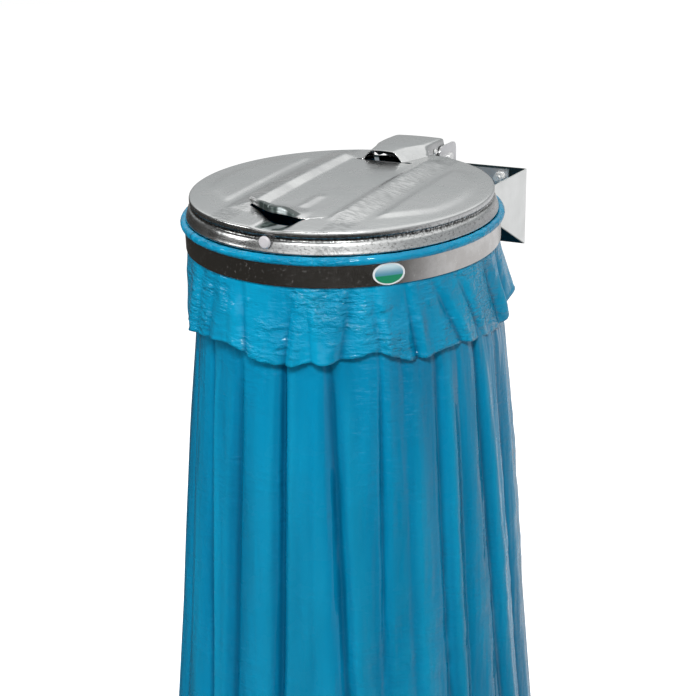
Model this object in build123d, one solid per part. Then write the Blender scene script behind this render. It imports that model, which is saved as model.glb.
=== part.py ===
"""Wall-hung bag holder: folded wall bracket, steel hoop, bead ring, pressed lid and film bag.

Millimetres. The origin is on the wall face of the bracket's back plate, at its mid height.
+Z is up, the wall lies at Y = 0 and the holder's front faces -Y.
"""
import os
from math import asin, cos, degrees, pi, radians, sin, sqrt, tan

from build123d import *

# Wall bracket
bracket_sheet = 2.5
plate_width = 283.0
plate_height = 108.0
cheek_top_rise = 2.5
bend_radius = 3.0
wall_hole_diameter = 9.0
wall_hole_spacing_x = 120.0
wall_hole_spacing_z = 52.0
wall_hole_drop = 8.0

# Hoop, seen from its own centre
hoop_reach = 290.0
hoop_rise = 43.5
hoop_tilt = 2.84
hoop_radius = 200.0
hoop_sheet = 1.8
hoop_height = 27.0
tab_arc = 13.0
tab_edge = 3.0
cheek_past_hoop = 20.0

# Bead ring that drops into the hoop
bead_radius = 4.3
film_wall = 0.6
film_play = 0.15
collar_wall = 1.5
collar_play = 0.35

# Lid pressing
lid_sheet = 1.2
lid_top_inset = 18.0
lid_rim_inset = 7.8
lid_rim_height = 31.6
lid_top_height = 33.2
lid_crown = 3.2
shoulder_run = 3.6
shoulder_drop = 3.2
skirt_inset = 3.4
groove_depth = 1.4
groove_top = 26.4
groove_bottom = 20.6
hem_inset = 2.6
hem_height = 3.0
hem_roll = 2.1
lid_seat_play = 0.3

# Pressed ribs, pads and ridge on the lid
rib_inner = 49.0
rib_outer = 93.0
rib_rise = 6.4
rib_front = 136.0
rib_rear = 150.0
rib_slope = 58.0
ridge_slope = 45.0
pad_gap = 8.0
pad_rise = 3.8
pad_inset = 10.0
ridge_width = 13.0
ridge_rise = 4.6
ridge_front = 109.0
ridge_rear = 55.0

# Lanced handle and the scoop for the fingers
handle_width = 88.0
handle_top_width = 44.0
handle_rise = 11.5
handle_front = 141.0
handle_rear = 102.0
scoop_width = 42.0
scoop_floor_width = 22.0
scoop_depth = 8.0
scoop_front = 186.0
scoop_front_depth = 1.8

# Hinge arch of the lid
arch_on_lid = 68.4
arch_base_width = 58.0
arch_top_width = 36.0
arch_rise = 15.0
arch_fall = 2.0
arch_swell_width = 84.0
arch_before_pin = 5.0
arch_rear_width = 75.0
arch_above_pin = 27.4
arch_shoulder = 4.5
arch_flank_bottom = 24.0
slit_length = 14.0
slit_gap = 1.6

# Hinge
pin_diameter = 8.0
pin_out_from_wall = 40.0
pin_above_hoop = 26.0
pin_play = 0.05
side_play = 0.7
strap_sheet = 2.0
strap_eye_radius = 9.5
strap_front = 50.0
strap_top = 20.0
strap_edge = 6.0
strap_top_end = 14.0
strap_eye_bearing = 53.0
ear_sheet = 2.5
ear_front = 34.0
ear_rear = 23.0
ear_top = 19.5
ear_corner = 11.0
ear_foot_height = 23.0
ear_foot_past_stud = 13.0
ear_step = 3.0
cap_radius = 6.5
cap_length = 3.4
cap_floor = 1.0
cap_chamfer = 0.8
side_washer_radius = 7.5
washer_float = 0.15

# Fasteners
stud_diameter = 8.0
stud_inset = 39.5
stud_head_radius = 6.0
stud_head_height = 1.2
stud_past_nut = 3.0
stud_drop = 4.0
stud_hole_play = 0.3
washer_radius = 8.0
washer_height = 1.6
nut_across_flats = 13.0
nut_height = 6.5
rivet_diameter = 5.0
rivet_head_radius = 4.6
rivet_head_height = 1.8
rivet_head_top = 2.6
hole_play = 0.05
strap_rivet_ahead = 42.2
strap_rivet_above = 16.7

# Round stop in the lid's front skirt
front_stop_radius = 7.5
front_stop_height = 3.0
front_stop_chamfer = 1.6
front_stop_stem = 3.0
front_stop_grip = 8.0
front_stop_level = 18.6

# Plain oval disc on the hoop
label_width = 39.0
label_height = 26.6
label_wall = 0.8
label_bearing = 42.3

# Film bag
bag_girth = 1400.0
bag_length = 1100.0
cuff_length = 88.0
bag_seam_width = 540.0
bag_seam_height = 12.0
bag_turn = 27.0
bag_shift = 8.0
bag_top_swell = 7.0
bag_top_depth_swell = 3.0
bag_half_width = 250.0
bag_weld = 6.0
bag_bottom_height = 190.0
bottom_gather = 60.0
hang_wall = 1.1
film_hem_gap = 0.8
level_drop = 120.0
pleat_depth = 6.0
cuff_flute = 6.0
cuff_flare = 8.5
hem_rise = 12.0
hem_waves = 9
hem_wave_radius = 75.0
section_points = 44
bead_sides = 12

# Sizes worked out from the driving ones
tilt = radians(hoop_tilt)
hoop_inner = hoop_radius - hoop_sheet
collar_outer = hoop_inner - film_wall - 2 * collar_play
collar_inner = collar_outer - collar_wall
film_bead = bead_radius + film_play + film_wall
bead_centre = collar_inner + bead_radius
film_inner = bead_centre - bead_radius - film_play
bead_outer = bead_centre + film_bead
hoop_top = -film_bead - film_play
hoop_bottom = hoop_top - hoop_height
collar_bottom = hoop_bottom + film_hem_gap
lid_seat = film_bead + lid_seat_play
pin_place = (-pin_out_from_wall, hoop_rise + pin_above_hoop)
lid_top_radius = hoop_radius - lid_top_inset
lid_rim_radius = hoop_radius - lid_rim_inset
skirt_radius = hoop_radius - skirt_inset
hem_radius = hoop_radius - hem_inset
pad_radius = lid_top_radius - pad_inset
arch_front = hem_radius - arch_on_lid
ear_inner = arch_rear_width / 2 + side_play
ear_outer = ear_inner + ear_sheet
strap_outer = arch_rear_width / 2 - lid_sheet - hole_play
cut = 1.0
stud_level = hoop_rise - stud_drop
stud_reach = plate_width / 2 - stud_inset
wrapped_length = cuff_length + 2 * hoop_height + 1.5 * pi * film_bead
hang_length = bag_length - wrapped_length - bottom_gather
bag_top_half_width = hoop_radius + bag_top_swell
bag_top_half_depth = hoop_radius + bag_top_depth_swell
hoop_frame = Location((0, -hoop_reach, hoop_rise), (hoop_tilt, 0, 0))


def to_hoop(y, z):
    """Hoop-frame (y, height) of a bracket-frame point in the middle plane."""
    dy, dz = y + hoop_reach, z - hoop_rise
    return dy * cos(tilt) + dz * sin(tilt), -dy * sin(tilt) + dz * cos(tilt)


pin_y, pin_h = to_hoop(*pin_place)
arch_rear = pin_y - arch_before_pin
arch_rear_top = pin_h + arch_above_pin


def box(x0, x1, y0, y1, z0, z1):
    """Block between two corners."""
    return Pos((x0 + x1) / 2, (y0 + y1) / 2, (z0 + z1) / 2) * Box(abs(x1 - x0), abs(y1 - y0), abs(z1 - z0))


def rod(radius, start, end):
    """Round rod from one point to another."""
    start, end = Vector(*start), Vector(*end)
    span = end - start
    return Solid.make_cylinder(radius, span.length, Plane(origin=start, z_dir=span))


def polygon_xy(points):
    return make_face(Polyline(*points, close=True))


def side_plate(points, x0, x1):
    """Plate with its outline given as (y, z) points, between two places along X."""
    outline = make_face(Polyline(*[(x0, y, z) for y, z in points], close=True))
    return extrude(outline, amount=x1 - x0, dir=(1, 0, 0))


def disc_solid(radius, low, high):
    """Round block about the hoop's own axis."""
    return Pos(0, 0, (low + high) / 2) * Cylinder(radius, high - low)


def band_solid(inner, outer, low, high):
    return disc_solid(outer, low, high) - disc_solid(inner, low - cut, high + cut)


def mirrored(solid):
    return mirror(solid, about=Plane.YZ)


def headed_rivet(place, direction, grip):
    """Rivet with a low coned head at its start and a flush tail at the end of its grip."""
    axis = Plane(origin=place, z_dir=direction)
    shank = Solid.make_cylinder(rivet_diameter / 2, grip, axis)
    head_axis = Plane(origin=place, z_dir=-axis.z_dir)
    return shank + Solid.make_cone(rivet_head_radius, rivet_head_top, rivet_head_height, head_axis)


def tab_bearings():
    """Bearings from the rear middle at which a cheek meets the hoop and its tab ends."""
    meet = degrees(asin((plate_width / 2 - bracket_sheet / 2) / hoop_radius))
    return meet, meet - tab_arc


def hoop_point(bearing, radius, height, side=1):
    """Point on the hoop at a bearing from the rear middle towards one side."""
    angle = radians(bearing)
    return side * radius * sin(angle), radius * cos(angle), height


def tab_rivet_bearings():
    meet, end = tab_bearings()
    return [end + (meet - end) * share for share in (0.25, 0.68)]


def make_wall_bracket():
    """Folded sheet: back plate and two cheeks that taper to the hoop and turn in as tabs."""
    half_width, half_height = plate_width / 2, plate_height / 2
    cheek_front = -hoop_reach + hoop_radius * cos(radians(tab_bearings()[0]))
    front_low = hoop_rise + (hoop_reach + cheek_front) * sin(tilt) + hoop_bottom
    past_front = cheek_front - cheek_past_hoop
    depth = -past_front
    fold_outer = Pos(0, -depth / 2) * Rectangle(plate_width, depth)
    fold_outer = fillet(fold_outer.vertices().group_by(Axis.Y)[-1], bend_radius + bracket_sheet)
    inside = Pos(0, -depth / 2 - bracket_sheet) * Rectangle(plate_width - 2 * bracket_sheet, depth)
    inside = fillet(inside.vertices().group_by(Axis.Y)[-1], bend_radius)
    channel = extrude(fold_outer - inside, amount=plate_height, both=True)
    outline = [(0, -half_height), (0, half_height), (past_front, half_height + cheek_top_rise),
               (past_front, front_low), (cheek_front, front_low)]
    bracket = channel & side_plate(outline, -half_width, half_width)
    bracket -= hoop_frame * disc_solid(hoop_radius, -plate_width, plate_width)
    bracket -= hoop_frame * disc_solid(bead_outer + side_play, hoop_top - film_play, plate_height)
    for column in (-1, 1):
        for row in (-1, 1):
            x = column * wall_hole_spacing_x / 2
            z = row * wall_hole_spacing_z / 2 - wall_hole_drop
            bracket -= rod(wall_hole_diameter / 2, (x, -bracket_sheet - cut, z), (x, cut, z))
        bracket -= stud_rod(column, stud_diameter / 2 + hole_play, cut, -bracket_sheet - cut)
        bracket -= stud_rod(column, stud_head_radius + hole_play, cut, -stud_head_height)
    meet, end = tab_bearings()
    level = (hoop_top + hoop_bottom) / 2
    tab = band_solid(hoop_radius, hoop_radius + bracket_sheet, hoop_bottom + tab_edge, hoop_top - tab_edge)
    corners = [hoop_point(bearing, 2 * hoop_radius, 0)[:2] for bearing in (end, meet)]
    wedge = polygon_xy([(0, 0), *corners])
    tab &= extrude(wedge, amount=plate_height, both=True)
    for bearing in tab_rivet_bearings():
        tab -= rod(rivet_diameter / 2 + hole_play, hoop_point(bearing, hoop_inner, level),
                   hoop_point(bearing, hoop_radius + 2 * bracket_sheet, level))
    return bracket + hoop_frame * tab + hoop_frame * mirrored(tab)


def make_support_band():
    band = band_solid(hoop_inner, hoop_radius, hoop_bottom, hoop_top)
    level = (hoop_top + hoop_bottom) / 2
    for side in (-1, 1):
        for bearing in tab_rivet_bearings():
            band -= rod(rivet_diameter / 2 + hole_play, hoop_point(bearing, hoop_inner - cut, level, side),
                        hoop_point(bearing, hoop_radius + cut, level, side))
    return hoop_frame * band


def make_band_rivets():
    level = (hoop_top + hoop_bottom) / 2
    grip = bracket_sheet + hoop_sheet - hole_play
    rivets = []
    for bearing in tab_rivet_bearings():
        start = hoop_point(bearing, hoop_radius + bracket_sheet, level)
        rivets.append(hoop_frame * headed_rivet(start, hoop_point(bearing, -1, 0), grip))
    return Compound(rivets)


def ring_polygon(radius, sides):
    """Regular section of the bead, with flats that touch its round form."""
    return Pos(bead_centre, 0) * RegularPolygon(radius, sides, rotation=180 / sides, major_radius=False)


def make_insert_ring():
    """Collar with its top edge rolled over a wire, as a wired edge."""
    collar = Pos((collar_inner + collar_outer) / 2, collar_bottom / 2)
    section = collar * Rectangle(collar_wall, -collar_bottom) + ring_polygon(bead_radius, bead_sides)
    return hoop_frame * revolve(Plane.XZ * section, Axis.Z)


def lid_profile(inset):
    """Closed half-section of the lid's outer form, set in by a sheet thickness, as (radius, height)."""
    bottom = lid_seat if inset == 0 else lid_seat - cut
    top = lid_top_height - inset
    rim, rim_top = lid_rim_radius - inset, lid_rim_height - inset
    groove = rim - groove_depth
    skirt = skirt_radius - inset
    skirt_top = skirt - (groove_bottom - lid_seat) * (hem_radius - skirt_radius) / lid_rim_height
    dome = [(lid_top_radius * share, top + lid_crown * (1 - share ** 2)) for share in (0.0, 0.5, 0.75)]
    points = [*dome, (lid_top_radius - inset / 2, top), (rim - shoulder_run, rim_top),
              (rim, rim_top - shoulder_drop), (rim, groove_top), (groove, groove_top - groove_depth),
              (groove, groove_bottom + groove_depth - inset / 2), (skirt_top, groove_bottom - inset / 2)]
    if inset == 0:
        points += [(skirt, lid_seat + hem_height), (hem_radius, lid_seat + hem_roll), (hem_radius, bottom)]
    else:
        points += [(skirt, bottom)]
    return make_face(Polyline(*points, (0, bottom), close=True))


def pressed_block(outline, rise, lean, inset):
    """Pressing with leaning sides that rises from its plan outline on the lid's top."""
    slope = radians(lean)
    depth = lid_top_height - lid_rim_height + 2 * lid_sheet
    side_inset = inset / cos(slope)
    floor = Plane.XY.offset(lid_top_height - depth)
    plan = offset(outline, amount=depth * tan(slope) - side_inset, kind=Kind.INTERSECTION)
    return extrude(floor * plan, amount=depth + rise - inset, taper=lean)


def rib_outline():
    plan = Rectangle(rib_outer - rib_inner, rib_front + rib_rear)
    return Pos((rib_inner + rib_outer) / 2, (rib_rear - rib_front) / 2) * plan


def pad_outline():
    chord = rib_outer + pad_gap
    half = sqrt(pad_radius ** 2 - chord ** 2)
    arc = ThreePointArc((chord, -half), (pad_radius, 0), (chord, half))
    return make_face(Wire([*arc.edges(), *Line((chord, half), (chord, -half)).edges()]))


def ridge_outline():
    return Pos(0, -(ridge_front + ridge_rear) / 2) * Rectangle(ridge_width, ridge_front - ridge_rear)


def cross_section(half, y):
    """Upright section across the lid from the (half width, height) corners of one side."""
    points = half + [(-x, z) for x, z in reversed(half)]
    return make_face(Polyline(*[(x, y, z) for x, z in points], close=True))


def arch_section(y, foot, shoulder, crown, inset):
    return cross_section([(foot[0] - inset, foot[1]), (shoulder[0] - inset, shoulder[1] - inset / 2),
                          (crown[0] - inset / 2, crown[1] - inset)], y)


def make_arch(inset):
    """Open-ended arch from its mouth on the lid, over the rim and back to the hinge."""
    mouth_top = lid_top_height + arch_rise
    foot = lid_rim_height - lid_sheet - 4 * inset
    flank = arch_flank_bottom - 4 * inset
    ends = (arch_front, arch_rear) if inset == 0 else (arch_front - slit_gap, arch_rear + cut)
    base, top = arch_base_width / 2, arch_top_width / 2
    swell, rear = arch_swell_width / 2, arch_rear_width / 2
    shoulder = mouth_top - arch_shoulder
    sections = [
        arch_section(ends[0], (base, foot), ((base + top) / 2, shoulder), (top, mouth_top), inset),
        arch_section(pad_radius, (swell, foot), (rear, shoulder),
                     (rear - arch_shoulder, mouth_top - arch_fall / 2), inset),
        arch_section(hem_radius, (rear, flank), (rear, shoulder),
                     (rear - arch_shoulder, mouth_top - arch_fall), inset),
        arch_section(ends[1], (rear, flank), (rear, arch_rear_top - arch_shoulder / 2),
                     (rear - arch_shoulder / 2, arch_rear_top), inset),
    ]
    return loft(sections, ruled=True)


def make_hood(inset):
    """Raised tongue of the handle: tall at the cut front edge, sloping down to the rear."""
    base = lid_rim_height - lid_sheet - 4 * inset
    front = -handle_front if inset == 0 else -handle_front - slit_gap
    half, top_half = handle_width / 2 - inset, handle_top_width / 2 - inset / 2

    def hood_section(y, rise):
        level = lid_top_height - inset
        return cross_section([(half, base), (half, level), (top_half, level + rise)], y)

    rear = -handle_rear - inset
    return loft([hood_section(front, handle_rise), hood_section(rear, lid_sheet / 4)], ruled=True)


def make_scoop(inset):
    """Dished finger space ahead of the handle, deepest where it opens under the handle."""
    half, floor_half = scoop_width / 2 + inset, scoop_floor_width / 2 + inset
    top = lid_top_height + lid_crown + lid_sheet
    rear = -handle_front + slit_gap if inset == 0 else -handle_front - slit_gap

    def scoop_section(y, depth):
        floor = lid_top_height - depth - inset
        return cross_section([(floor_half, floor), (half, lid_top_height), (half, top)], y)

    front = -scoop_front - inset
    return loft([scoop_section(rear, scoop_depth), scoop_section(front, scoop_front_depth)], ruled=True)


def make_lid():
    """One pressing: the outer form with every pressed feature, less the same form set in by the sheet."""
    outer, inner = [revolve(Plane.XZ * lid_profile(inset), Axis.Z) for inset in (0.0, lid_sheet)]
    pressings = [(rib_outline(), rib_rise), (pad_outline(), pad_rise)]
    pressings += [(mirrored(outline), rise) for outline, rise in pressings]
    for outline, rise in pressings:
        outer += pressed_block(outline, rise, rib_slope, 0.0)
        inner += pressed_block(outline, rise, rib_slope, lid_sheet)
    outer += pressed_block(ridge_outline(), ridge_rise, ridge_slope, 0.0)
    outer = outer + make_hood(0.0) - make_scoop(0.0) + make_arch(0.0)
    inner = inner + make_hood(lid_sheet) - make_scoop(lid_sheet) + make_arch(lid_sheet)
    lid = outer - inner
    for side in (-1, 1):
        near, far = side * (arch_base_width / 2 - cut), side * (arch_base_width / 2 + slit_length)
        lid -= box(near, far, arch_front - slit_gap, arch_front, lid_rim_height - 2 * lid_sheet,
                   lid_top_height + 2 * lid_sheet)
    lid -= rod(front_stop_stem + hole_play, (0, -hem_radius - cut, front_stop_level),
               (0, groove_depth + front_stop_grip - hem_radius, front_stop_level))
    return hoop_frame * (lid - strap_rivet_bore(ear_outer))


def strap_rivet_place():
    """Hoop-frame (y, height) of the rivets through the arch's flanks and the strap."""
    return pin_y - strap_rivet_ahead, pin_h + strap_rivet_above


def strap_rivet_bore(reach):
    place = strap_rivet_place()
    return rod(rivet_diameter / 2 + hole_play, (-reach, *place), (reach, *place))


def make_hinge_strap():
    """Folded strap inside the arch: two legs with pin eyes, joined by a web at the front."""
    inner = strap_outer - strap_sheet
    front = pin_y - strap_front
    low, high = strap_rivet_place()[1] - strap_edge, pin_h + strap_top
    eye, bearing = strap_eye_radius, radians(strap_eye_bearing)
    run, climb = eye * cos(bearing), eye * sin(bearing)
    leg_points = [(front, low), (front, high), (pin_y - strap_top_end, high), (pin_y + run, pin_h + climb),
                  (pin_y - run, pin_h - climb)]
    leg = side_plate(leg_points, inner, strap_outer)
    leg += rod(eye, (inner, pin_y, pin_h), (strap_outer, pin_y, pin_h))
    web = box(-strap_outer, strap_outer, front, front + strap_sheet, low, high)
    reach = strap_outer + cut
    strap = leg + mirrored(leg) + web
    strap -= rod(pin_diameter / 2 + pin_play, (-reach, pin_y, pin_h), (reach, pin_y, pin_h))
    return hoop_frame * (strap - strap_rivet_bore(reach))


def make_strap_rivet():
    grip = lid_sheet + hole_play + strap_sheet
    return hoop_frame * headed_rivet((arch_rear_width / 2, *strap_rivet_place()), (-1, 0, 0), grip)


def make_hinge_bracket():
    """Hat-shaped folded strip: feet on the back plate, two ears and a web across their fronts."""
    wall_side, pin_z = pin_place
    front, rear, top = wall_side - ear_front, wall_side + ear_rear, pin_z + ear_top
    low, foot_top = stud_level - ear_foot_height / 2, stud_level + ear_foot_height / 2
    outline = [(-bracket_sheet, low), (-bracket_sheet, foot_top), (rear, foot_top + ear_step), (rear, top),
               (front, top), (front, low)]
    ear = side_plate(outline, ear_inner, ear_outer)
    ear = fillet(ear.edges().filter_by(Axis.X).group_by(Axis.Z)[-1], ear_corner)
    foot_end = stud_reach + ear_foot_past_stud
    foot = box(ear_inner, foot_end, -bracket_sheet - ear_sheet, -bracket_sheet, low, foot_top)
    foot -= stud_rod(1, stud_diameter / 2 + stud_hole_play, cut, -bracket_sheet - ear_sheet - cut)
    side = ear + foot
    web = box(-ear_outer, ear_outer, front, front + ear_sheet, low, foot_top)
    reach = ear_outer + cut
    return side + mirrored(side) + web - pin_rod(pin_diameter / 2 + pin_play, -reach, reach)


def pin_rod(radius, start, end):
    """Round rod about the hinge axis between two places along X."""
    return rod(radius, (start, *pin_place), (end, *pin_place))


def make_hinge_pin():
    reach = ear_outer + cap_length - cap_floor
    return pin_rod(pin_diameter / 2, -reach, reach)


def make_pin_cap():
    """Push-on cap: a shallow cup over the pin's end."""
    end = ear_outer + cap_length
    cup = pin_rod(cap_radius, ear_outer, end)
    cup = chamfer(cup.edges().filter_by(GeomType.CIRCLE).group_by(Axis.X)[-1], cap_chamfer)
    return cup - pin_rod(pin_diameter / 2 + hole_play, ear_outer - cut, end - cap_floor)


def make_pin_washer():
    """Flat washer on the pin between the strap's eye and the ear."""
    start, end = strap_outer + washer_float, ear_inner - washer_float
    washer = pin_rod(side_washer_radius, start, end)
    return washer - pin_rod(pin_diameter / 2 + pin_play, start - cut, end + cut)


def stud_rod(side, radius, start, end):
    """Round rod about a stud's axis between two places along Y."""
    x = side * stud_reach
    return rod(radius, (x, start, stud_level), (x, end, stud_level))


def make_mount_stud():
    tip = -(bracket_sheet + ear_sheet + washer_height + nut_height + stud_past_nut)
    return stud_rod(1, stud_diameter / 2, 0, tip) + stud_rod(1, stud_head_radius, 0, -stud_head_height)


def make_nut_washer():
    seat = -(bracket_sheet + ear_sheet)
    end = seat - washer_height
    bore = stud_rod(1, stud_diameter / 2 + hole_play, seat + cut, end - cut)
    return stud_rod(1, washer_radius, seat, end) - bore


def make_mount_nut():
    seat = -(bracket_sheet + ear_sheet + washer_height)
    end = seat - nut_height
    face = Plane(origin=(stud_reach, seat, stud_level), x_dir=(1, 0, 0), z_dir=(0, -1, 0))
    body = extrude(face * RegularPolygon(nut_across_flats / 2, 6, major_radius=False), amount=nut_height)
    return body - stud_rod(1, stud_diameter / 2 + hole_play, seat + cut, end - cut)


def make_front_stop():
    """Round plug in the skirt's middle: flat-topped head outside and a stem through the sheet."""
    seat, level = -skirt_radius, front_stop_level
    head = rod(front_stop_radius, (0, seat, level), (0, seat - front_stop_height, level))
    head = chamfer(head.edges().filter_by(GeomType.CIRCLE).group_by(Axis.Y)[0], front_stop_chamfer)
    return hoop_frame * (head + rod(front_stop_stem, (0, seat, level), (0, seat + front_stop_grip, level)))


def make_band_label():
    """Thin oval disc bent round the hoop, without any sign on it."""
    shell = band_solid(hoop_radius, hoop_radius + label_wall, hoop_bottom, hoop_top)
    angle = radians(label_bearing)
    middle = (hoop_radius * sin(angle), -hoop_radius * cos(angle), (hoop_top + hoop_bottom) / 2)
    face = Plane(origin=middle, x_dir=(cos(angle), sin(angle), 0), z_dir=(sin(angle), -cos(angle), 0))
    prism = extrude(face * Ellipse(label_width / 2, label_height / 2), amount=label_width, both=True)
    return hoop_frame * (shell & prism)


def gather(angle, strength):
    """Uneven pleats round the bag, as a share of their strength."""
    waves = ((9, 0.4, 0.42), (13, 1.9, 0.34), (5, 3.0, 0.24), (21, 0.8, 0.20))
    return strength * sum(share * sin(count * angle + start) for count, start, share in waves)


def to_frame(y, h):
    """Bracket-frame (y, z) of a hoop-frame point in the middle plane."""
    return -hoop_reach + y * cos(tilt) - h * sin(tilt), hoop_rise + y * sin(tilt) + h * cos(tilt)


def hang_plane(drop):
    """Level of the film below the hoop: tilted with the hoop at the top, level further down."""
    y, z = to_frame(0, hoop_bottom - film_hem_gap)
    angle = tilt * max(0.0, 1 - drop / level_drop)
    return Plane(origin=(0, y, z - drop), x_dir=(1, 0, 0), z_dir=(0, -sin(angle), cos(angle)))


def film_section(drop, half_width, half_depth, strength, inset):
    """Pleated oval section of the film, its long way turned as the flat bag hangs."""
    turn, shift = radians(bag_turn), bag_shift * min(1.0, drop / level_drop)
    points = []
    for step in range(section_points):
        angle = 2 * pi * step / section_points
        pleat = gather(angle, strength) - inset
        along = shift + (half_width + pleat) * cos(angle)
        across = (half_depth + pleat) * sin(angle)
        points.append((along * cos(turn) - across * sin(turn), along * sin(turn) + across * cos(turn)))
    return hang_plane(drop) * make_face(Polyline(*points, close=True))


def film_loft(stations, end_weld):
    """Thin film between a form through the stations and the same form set in by the wall."""
    outer = loft([film_section(*station, 0.0) for station in stations], ruled=True)
    end = stations[-1]
    inner_stations = [*stations[:-1], (end[0] - end_weld, *end[1:])]
    return outer - loft([film_section(*station, hang_wall) for station in inner_stations], ruled=True)


def make_bag_body():
    """Hanging film from the hoop's underside down to the bottom weld."""
    top = film_inner + (hang_wall - film_wall) / 2
    bottom_start = hang_length - bag_bottom_height
    full_depth = sqrt(2 * (bag_girth / (2 * pi)) ** 2 - bag_half_width ** 2)
    seam_half, seam_depth = bag_seam_width / 2, bag_seam_height / 2
    stations = [(0.0, top, top, 0.0)]
    for share, pleat_share in ((0.0, 0.5), (0.5, 1.0), (1.0, 0.5)):
        stations.append((
            level_drop + share * (bottom_start - level_drop),
            bag_top_half_width + share * (bag_half_width - bag_top_half_width),
            bag_top_half_depth + share * (full_depth - bag_top_half_depth),
            pleat_share * pleat_depth,
        ))
    for share, depth_share in ((0.45, 0.72), (0.78, 0.36), (1.0, 0.0)):
        stations.append((
            bottom_start + share * bag_bottom_height,
            bag_half_width + share * (seam_half - bag_half_width),
            seam_depth + depth_share * (full_depth - seam_depth),
            0.5 * pleat_depth * depth_share,
        ))
    return film_loft(stations, bag_weld)


def make_bag_cuff():
    """Turned-over mouth that hangs outside the body, with an uneven hem."""
    top = collar_outer + collar_play + (hang_wall + film_wall) / 2
    stations = []
    for share, flare_share in ((0.0, 0.0), (0.17, 0.15), (0.5, 0.65), (1.0, 1.0)):
        radius = top + flare_share * cuff_flare
        stations.append((share * (cuff_length + hem_rise), radius, radius, flare_share * cuff_flute))
    cuff = film_loft(stations, 0.0)
    y, z = to_frame(0, hoop_bottom - cuff_length)
    for count in range(hem_waves):
        angle = 2 * pi * (count + 0.3 * sin(2.3 * count)) / hem_waves
        level = z - hem_wave_radius + hem_rise * (0.55 + 0.45 * sin(1.7 * count))
        far = (1.5 * hoop_radius * cos(angle), y + 1.5 * hoop_radius * sin(angle), level)
        cuff -= rod(hem_wave_radius, (0, y, level), far)
    return cuff


def make_refuse_bag():
    """Film bag: up inside the collar, over the bead, down inside the hoop and out as a cuff."""
    leg_height = 2 * film_hem_gap - hoop_bottom
    outer_leg = collar_outer + collar_play
    wrap = ring_polygon(film_bead, bead_sides) - ring_polygon(film_bead - film_wall, bead_sides)
    wrap -= Pos(outer_leg - film_bead / 2, -film_bead / 2) * Rectangle(film_bead, film_bead)
    wrap += Pos(film_inner - film_wall / 2, -leg_height / 2) * Rectangle(film_wall, leg_height)
    short_leg = leg_height - film_bead * 0.8
    wrap += Pos(outer_leg + film_wall / 2, short_leg / 2 - leg_height) * Rectangle(film_wall, short_leg)
    return hoop_frame * revolve(Plane.XZ * wrap, Axis.Z) + make_bag_body() + make_bag_cuff()


single_parts = {
    "wall_bracket": make_wall_bracket,
    "support_band": make_support_band,
    "insert_ring": make_insert_ring,
    "lid": make_lid,
    "hinge_strap": make_hinge_strap,
    "hinge_bracket": make_hinge_bracket,
    "hinge_pin": make_hinge_pin,
    "front_stop": make_front_stop,
    "band_label": make_band_label,
    "refuse_bag": make_refuse_bag,
}
paired_parts = {
    "band_rivets": make_band_rivets,
    "strap_rivet": make_strap_rivet,
    "pin_cap": make_pin_cap,
    "pin_washer": make_pin_washer,
    "mount_stud": make_mount_stud,
    "nut_washer": make_nut_washer,
    "mount_nut": make_mount_nut,
}

os.makedirs("parts", exist_ok=True)
for name, make in single_parts.items():
    export_step(make(), f"parts/{name}.step")
for name, make in paired_parts.items():
    right = make()
    for side, solid in (("right", right), ("left", mirrored(right))):
        export_step(solid, f"parts/{name}_{side}.step")
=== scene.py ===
"""Looks of the wall-hung bag holder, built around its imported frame.

The frame's millimetre sizes are repeated here in the hoop's own frame, whose origin is the middle
of the hoop's rim and whose height axis leans with the hoop. Meshes are made there and then placed.
"""

import logging
import math
import random
from dataclasses import dataclass
from enum import Enum
from typing import Callable, Iterable, Sequence

import bmesh
import bpy
from bmesh.types import BMEdge, BMesh, BMVert
from mathutils import Matrix, Vector, noise


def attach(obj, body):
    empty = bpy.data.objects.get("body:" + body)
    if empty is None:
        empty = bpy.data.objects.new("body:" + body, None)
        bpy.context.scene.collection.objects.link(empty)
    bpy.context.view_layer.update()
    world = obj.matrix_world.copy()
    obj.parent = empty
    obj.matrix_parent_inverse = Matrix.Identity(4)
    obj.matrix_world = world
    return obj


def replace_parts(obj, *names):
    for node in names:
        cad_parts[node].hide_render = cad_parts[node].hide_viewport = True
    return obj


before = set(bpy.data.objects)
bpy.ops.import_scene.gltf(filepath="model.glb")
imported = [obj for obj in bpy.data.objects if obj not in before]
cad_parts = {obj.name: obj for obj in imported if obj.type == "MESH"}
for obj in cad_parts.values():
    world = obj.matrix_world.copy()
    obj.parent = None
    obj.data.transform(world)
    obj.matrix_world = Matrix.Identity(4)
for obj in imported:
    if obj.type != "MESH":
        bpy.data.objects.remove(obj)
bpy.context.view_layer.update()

log = logging.getLogger("bag_holder")

MM = 0.001
HOOP_TILT = math.radians(2.84)
HOOP_REACH = 290.0
HOOP_RISE = 43.5
HOOP_BOTTOM = -32.2
FILM_FOOT = HOOP_BOTTOM - 0.8
HOOP_PLACE = Matrix.Translation((0.0, -HOOP_REACH, HOOP_RISE)) @ Matrix.Rotation(HOOP_TILT, 4, "X")
HOOP_CENTRE = (0.0, -HOOP_REACH * MM, HOOP_RISE * MM)
REARWARD = Vector((0.0, 1.0, 0.0))
UPWARD = Vector((0.0, 0.0, 1.0))
WHITE = (1.0, 1.0, 1.0)

Colour = tuple[float, float, float]
Place = tuple[float, float, float]
Point = tuple[float, float]
Pleat = tuple[float, float, float, float]
Fold = tuple[float, float, float, float, float]
Socket = bpy.types.NodeSocket
Material = bpy.types.Material


class Body(Enum):
    """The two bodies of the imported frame."""

    HOLDER = "holder"
    LID = "lid_body"


class Slot(Enum):
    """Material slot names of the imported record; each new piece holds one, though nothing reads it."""

    SHEET = "galvanised_sheet"
    FILM = "blue_film"


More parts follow.
